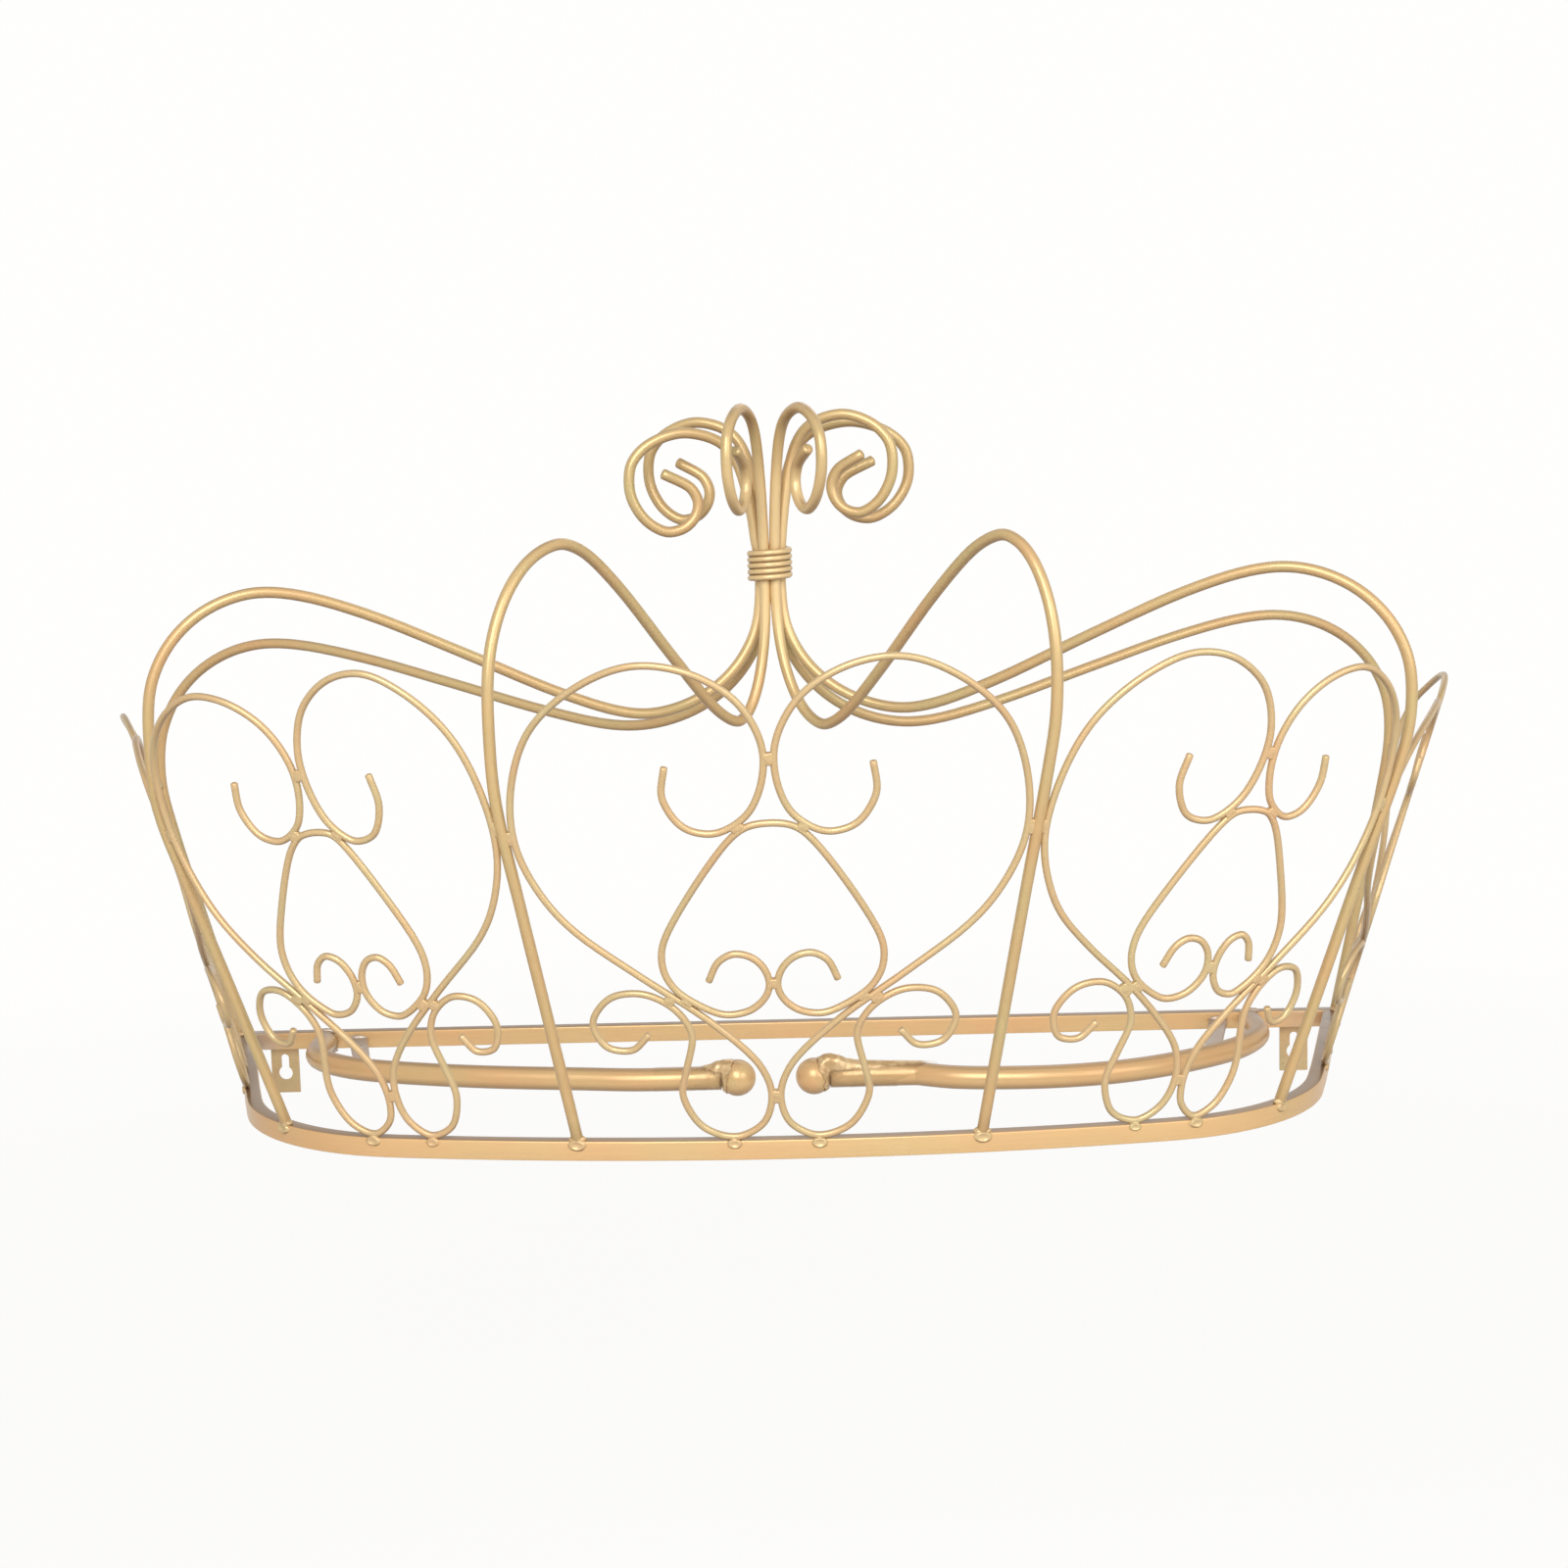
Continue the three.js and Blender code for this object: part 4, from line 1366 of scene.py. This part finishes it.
def lay_band_welds(even, welds):
    """Pressed beads under the hearts and the ribs, on the outer upper edge of the band."""
    solid = bmesh.new()
    _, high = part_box("front_band")
    outer, inner = band_lines("front_band", 8)
    for seed, name in enumerate(sorted(even)):
        line, radius = even[name]
        lowest = min(line, key=lambda place: place.z)
        if lowest.z > high[2] + FOOT_HEIGHT * radius:
            continue
        near = min(range(len(outer)), key=lambda i: (outer[i].xy - lowest.xy).length)
        along = (outer[min(near + 1, len(outer) - 1)] - outer[max(near - 1, 0)]).normalized()
        outward = (outer[near] - inner[near]).normalized()
        size = welds.foot_bead if name in RIBS else welds.scroll_bead
        size *= FACE_BEAD_SHARE + FACE_BEAD_SPREAD * noise.noise(Vector((seed * 2.3, 1, 0)))
        edge = Vector((outer[near].x, outer[near].y, high[2]))
        edge += along * (lowest - edge).dot(along)
        # The pressed bead on the face, and the fillet that joins the wire to the edge
        face = edge - Vector((0, 0, size * FACE_DROP))
        face_sizes = (size, size * FACE_DEPTH, size * FACE_HEIGHT)
        add_bead(solid, face, along, outward, face_sizes, 100 + seed, rim=0.5)
        fillet = edge - outward * radius * FILLET_SETBACK + Vector((0, 0, radius * FILLET_RISE))
        fillet_sizes = [radius * share for share in FILLET_SIZES]
        add_bead(solid, fillet, along, outward, fillet_sizes, 200 + seed)
    new_piece("band_welds", solid, wire_gold(), "pale_gold")


# Lumps at the corners of the frame, in metres: how far in from the bar's end, how far in front of it,
# and their half sizes
CORNER_INSET = 0.0045
CORNER_FRONT = 0.0012
CORNER_SIZES = (0.0058, 0.0034, 0.003)

# Lumps at the top and bottom of a rod or strap: the strap's half width, how far in front of the bar they
# are and half their height and depth, in metres, and their half width and how far they lie inside the
# top and bottom, as shares of the half width and half height of the rod or strap
STRAP_HALF_WIDTH = 0.006
JOINT_FRONT = 0.0006
JOINT_HEIGHT = 0.0021
JOINT_DEPTH = 0.0016
JOINT_WIDTH_SHARE = 0.95
JOINT_LEVEL_SHARE = 0.1


def lay_corner_welds():
    """Lumps where the band meets the back bar, and where the rods and straps meet the bar."""
    solid = bmesh.new()
    bar_low, bar_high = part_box("back_bar")
    upright = Vector((0, 0, 1))
    rod_radius = bpy.context.scene.crown_bars.tube_diameter / 2
    for side, sign in SIDES.items():
        end = bar_high[0] if sign > 0 else bar_low[0]
        corner = Vector((end - sign * CORNER_INSET, bar_low[1] - CORNER_FRONT, 0))
        add_bead(solid, corner, upright, Vector((sign, 0, 0)), CORNER_SIZES, sign * 7)
        for name, wide in ((f"rod_strap_{side}", STRAP_HALF_WIDTH), (f"curtain_rod_{side}", rod_radius)):
            low, high = (Vector(spot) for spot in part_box(name))
            tall = (high.z - low.z) / 2
            middle = (high.x if sign > 0 else low.x) - sign * wide
            for level in (high.z - tall * JOINT_LEVEL_SHARE, low.z + tall * JOINT_LEVEL_SHARE):
                place = Vector((middle, bar_low[1] - JOINT_FRONT, level))
                half_sizes = (wide * JOINT_WIDTH_SHARE, JOINT_HEIGHT, JOINT_DEPTH)
                add_bead(solid, place, Vector((1, 0, 0)), upright, half_sizes, level * 900 + sign)
    new_piece("corner_welds", solid, thin_gold(), "rubbed_gold")


# The white of the floor and the room, the floor's size, and the distances from its middle between which
# it turns white, with how white it is at both
WARM_WHITE = (1, 0.995, 0.985, 1)
FLOOR_SIZE = 40
FLOOR_FADE = (0.5, 2.5)
FLOOR_WHITENESS = (0.93, 1.0)


class CROWN_OT_set_stage(bpy.types.Operator):
    """Set the pale floor, the soft lamps, the room light and the camera"""

    bl_idname = "crown.set_stage"
    bl_label = "Set stage"

    def execute(self, context):
        stage = context.scene.crown_stage
        set_floor(stage)
        set_lamps(stage)
        set_room(context.scene, stage)
        set_camera(context.scene, stage)
        context.scene.view_settings.view_transform = "Standard"
        return {"FINISHED"}


def seen_directly(tree):
    """1 for rays from the camera, from a mirror or through glass, 0 for the light on the object."""
    path = node(tree, "ShaderNodeLightPath")
    sum_one = maths(tree, "ADD", path.outputs["Is Camera Ray"], path.outputs["Is Glossy Ray"])
    return maths(tree, "MINIMUM", maths(tree, "ADD", sum_one, path.outputs["Is Transmission Ray"]), 1.0)


def set_floor(stage):
    """A wide pale floor below the crown, which keeps its soft shadow."""
    solid = bmesh.new()
    bmesh.ops.create_grid(solid, x_segments=1, y_segments=1, size=FLOOR_SIZE)
    mesh = bpy.data.meshes.new("floor")
    solid.to_mesh(mesh)
    solid.free()
    floor = bpy.data.objects.new("floor", mesh)
    floor.location.z = cad_box[0][2] - stage.floor_drop
    bpy.context.scene.collection.objects.link(floor)
    material, tree, shader = new_finish("pale_floor")
    shader.inputs["Base Color"].default_value = (0.9, 0.9, 0.9, 1)
    shader.inputs["Roughness"].default_value = 0.9
    white = node(tree, "ShaderNodeEmission")
    white.inputs["Color"].default_value = WARM_WHITE
    blend = node(tree, "ShaderNodeMixShader")
    place = node(tree, "ShaderNodeTexCoord")
    apart = node(tree, "ShaderNodeVectorMath", operation="LENGTH")
    tree.links.new(place.outputs["Object"], apart.inputs[0])
    # The floor keeps its own shade near the crown and fades into the white of the room
    whiteness = ranged(tree, apart.outputs["Value"], *FLOOR_FADE, *FLOOR_WHITENESS)
    tree.links.new(maths(tree, "MULTIPLY", seen_directly(tree), whiteness), blend.inputs[0])
    tree.links.new(shader.outputs[0], blend.inputs[1])
    tree.links.new(white.outputs[0], blend.inputs[2])
    tree.links.new(blend.outputs[0], tree.nodes["Material Output"].inputs["Surface"])
    mesh.materials.append(material)


def set_lamps(stage):
    """Large soft lamps aimed at the middle of the crown."""
    centre = (Vector(cad_box[0]) + Vector(cad_box[1])) / 2
    for name, offset, size, power in (
        ("key_lamp", Vector((-0.2, -1.95, 1.1)), 1.3, stage.key_power),
        ("fill_lamp", Vector((1.4, -1.5, 0.8)), 1.2, stage.fill_power),
        ("back_lamp", Vector((0.3, 1.7, 1.3)), 1.2, stage.back_power),
    ):
        lamp = bpy.data.lights.new(name, "AREA")
        lamp.energy = power
        lamp.size = size
        holder = bpy.data.objects.new(name, lamp)
        holder.location = centre + offset
        holder.rotation_euler = (-offset).to_track_quat("-Z", "Y").to_euler()
        bpy.context.scene.collection.objects.link(holder)


def set_room(scene, stage):
    """Even room light, with a white background."""
    world = bpy.data.worlds.new("studio")
    scene.world = world
    world.use_nodes = True
    tree = world.node_tree
    background = tree.nodes["Background"]
    background.inputs["Color"].default_value = WARM_WHITE
    strength = ranged(tree, seen_directly(tree), 0.0, 1.0, stage.room_light, 1.0, kind="LINEAR")
    tree.links.new(strength, background.inputs["Strength"])


def set_camera(scene, stage):
    """The camera at the photograph's place and angle."""
    yaw, pitch, roll = stage.camera_turn
    ahead = Vector((math.sin(yaw) * math.cos(pitch), math.cos(yaw) * math.cos(pitch), -math.sin(pitch)))
    level = Vector((math.cos(yaw), -math.sin(yaw), 0))
    above = level.cross(ahead)
    right = level * math.cos(roll) + above * math.sin(roll)
    up = above * math.cos(roll) - level * math.sin(roll)
    lens = bpy.data.cameras.new("photo_camera")
    lens.lens = stage.lens
    lens.sensor_width = 36
    lens.clip_start = 0.01
    camera = bpy.data.objects.new("photo_camera", lens)
    turned = Matrix((right, up, -ahead)).transposed().to_4x4()
    camera.matrix_world = Matrix.Translation(stage.camera_place) @ turned
    scene.collection.objects.link(camera)
    scene.camera = camera


class CROWN_PT_build(bpy.types.Panel):
    """Lists the steps that build the crown"""

    bl_idname = "CROWN_PT_build"
    bl_label = "Bed Crown"
    bl_space_type = "VIEW_3D"
    bl_region_type = "UI"
    bl_category = "Bed Crown"

    def draw(self, context):
        layout = self.layout
        for step in STEPS:
            layout.operator(step.bl_idname)
        for key, group in SETTINGS.items():
            box = layout.box()
            for field in group.__annotations__:
                box.prop(getattr(context.scene, key), field)


STEPS = (
    CROWN_OT_bend_ribs,
    CROWN_OT_bend_scrolls,
    CROWN_OT_roll_band,
    CROWN_OT_cut_bar,
    CROWN_OT_wind_binding,
    CROWN_OT_bend_curtain_rods,
    CROWN_OT_turn_balls,
    CROWN_OT_wrap_film,
    CROWN_OT_cut_fittings,
    CROWN_OT_lay_welds,
    CROWN_OT_set_stage,
)


def register():
    for group in SETTINGS.values():
        bpy.utils.register_class(group)
    for step in STEPS:
        bpy.utils.register_class(step)
    bpy.utils.register_class(CROWN_PT_build)
    for key, group in SETTINGS.items():
        setattr(bpy.types.Scene, key, PointerProperty(type=group))


def unregister():
    for key in SETTINGS:
        delattr(bpy.types.Scene, key)
    bpy.utils.unregister_class(CROWN_PT_build)
    for step in reversed(STEPS):
        bpy.utils.unregister_class(step)
    for group in SETTINGS.values():
        bpy.utils.unregister_class(group)


def main():
    register()
    bpy.ops.crown.bend_ribs()
    bpy.ops.crown.bend_scrolls()
    bpy.ops.crown.roll_band()
    bpy.ops.crown.cut_bar()
    bpy.ops.crown.wind_binding()
    bpy.ops.crown.bend_curtain_rods()
    bpy.ops.crown.turn_balls()
    bpy.ops.crown.wrap_film()
    bpy.ops.crown.cut_fittings()
    bpy.ops.crown.lay_welds()
    bpy.ops.crown.set_stage()


if __name__ == "__main__":
    main()
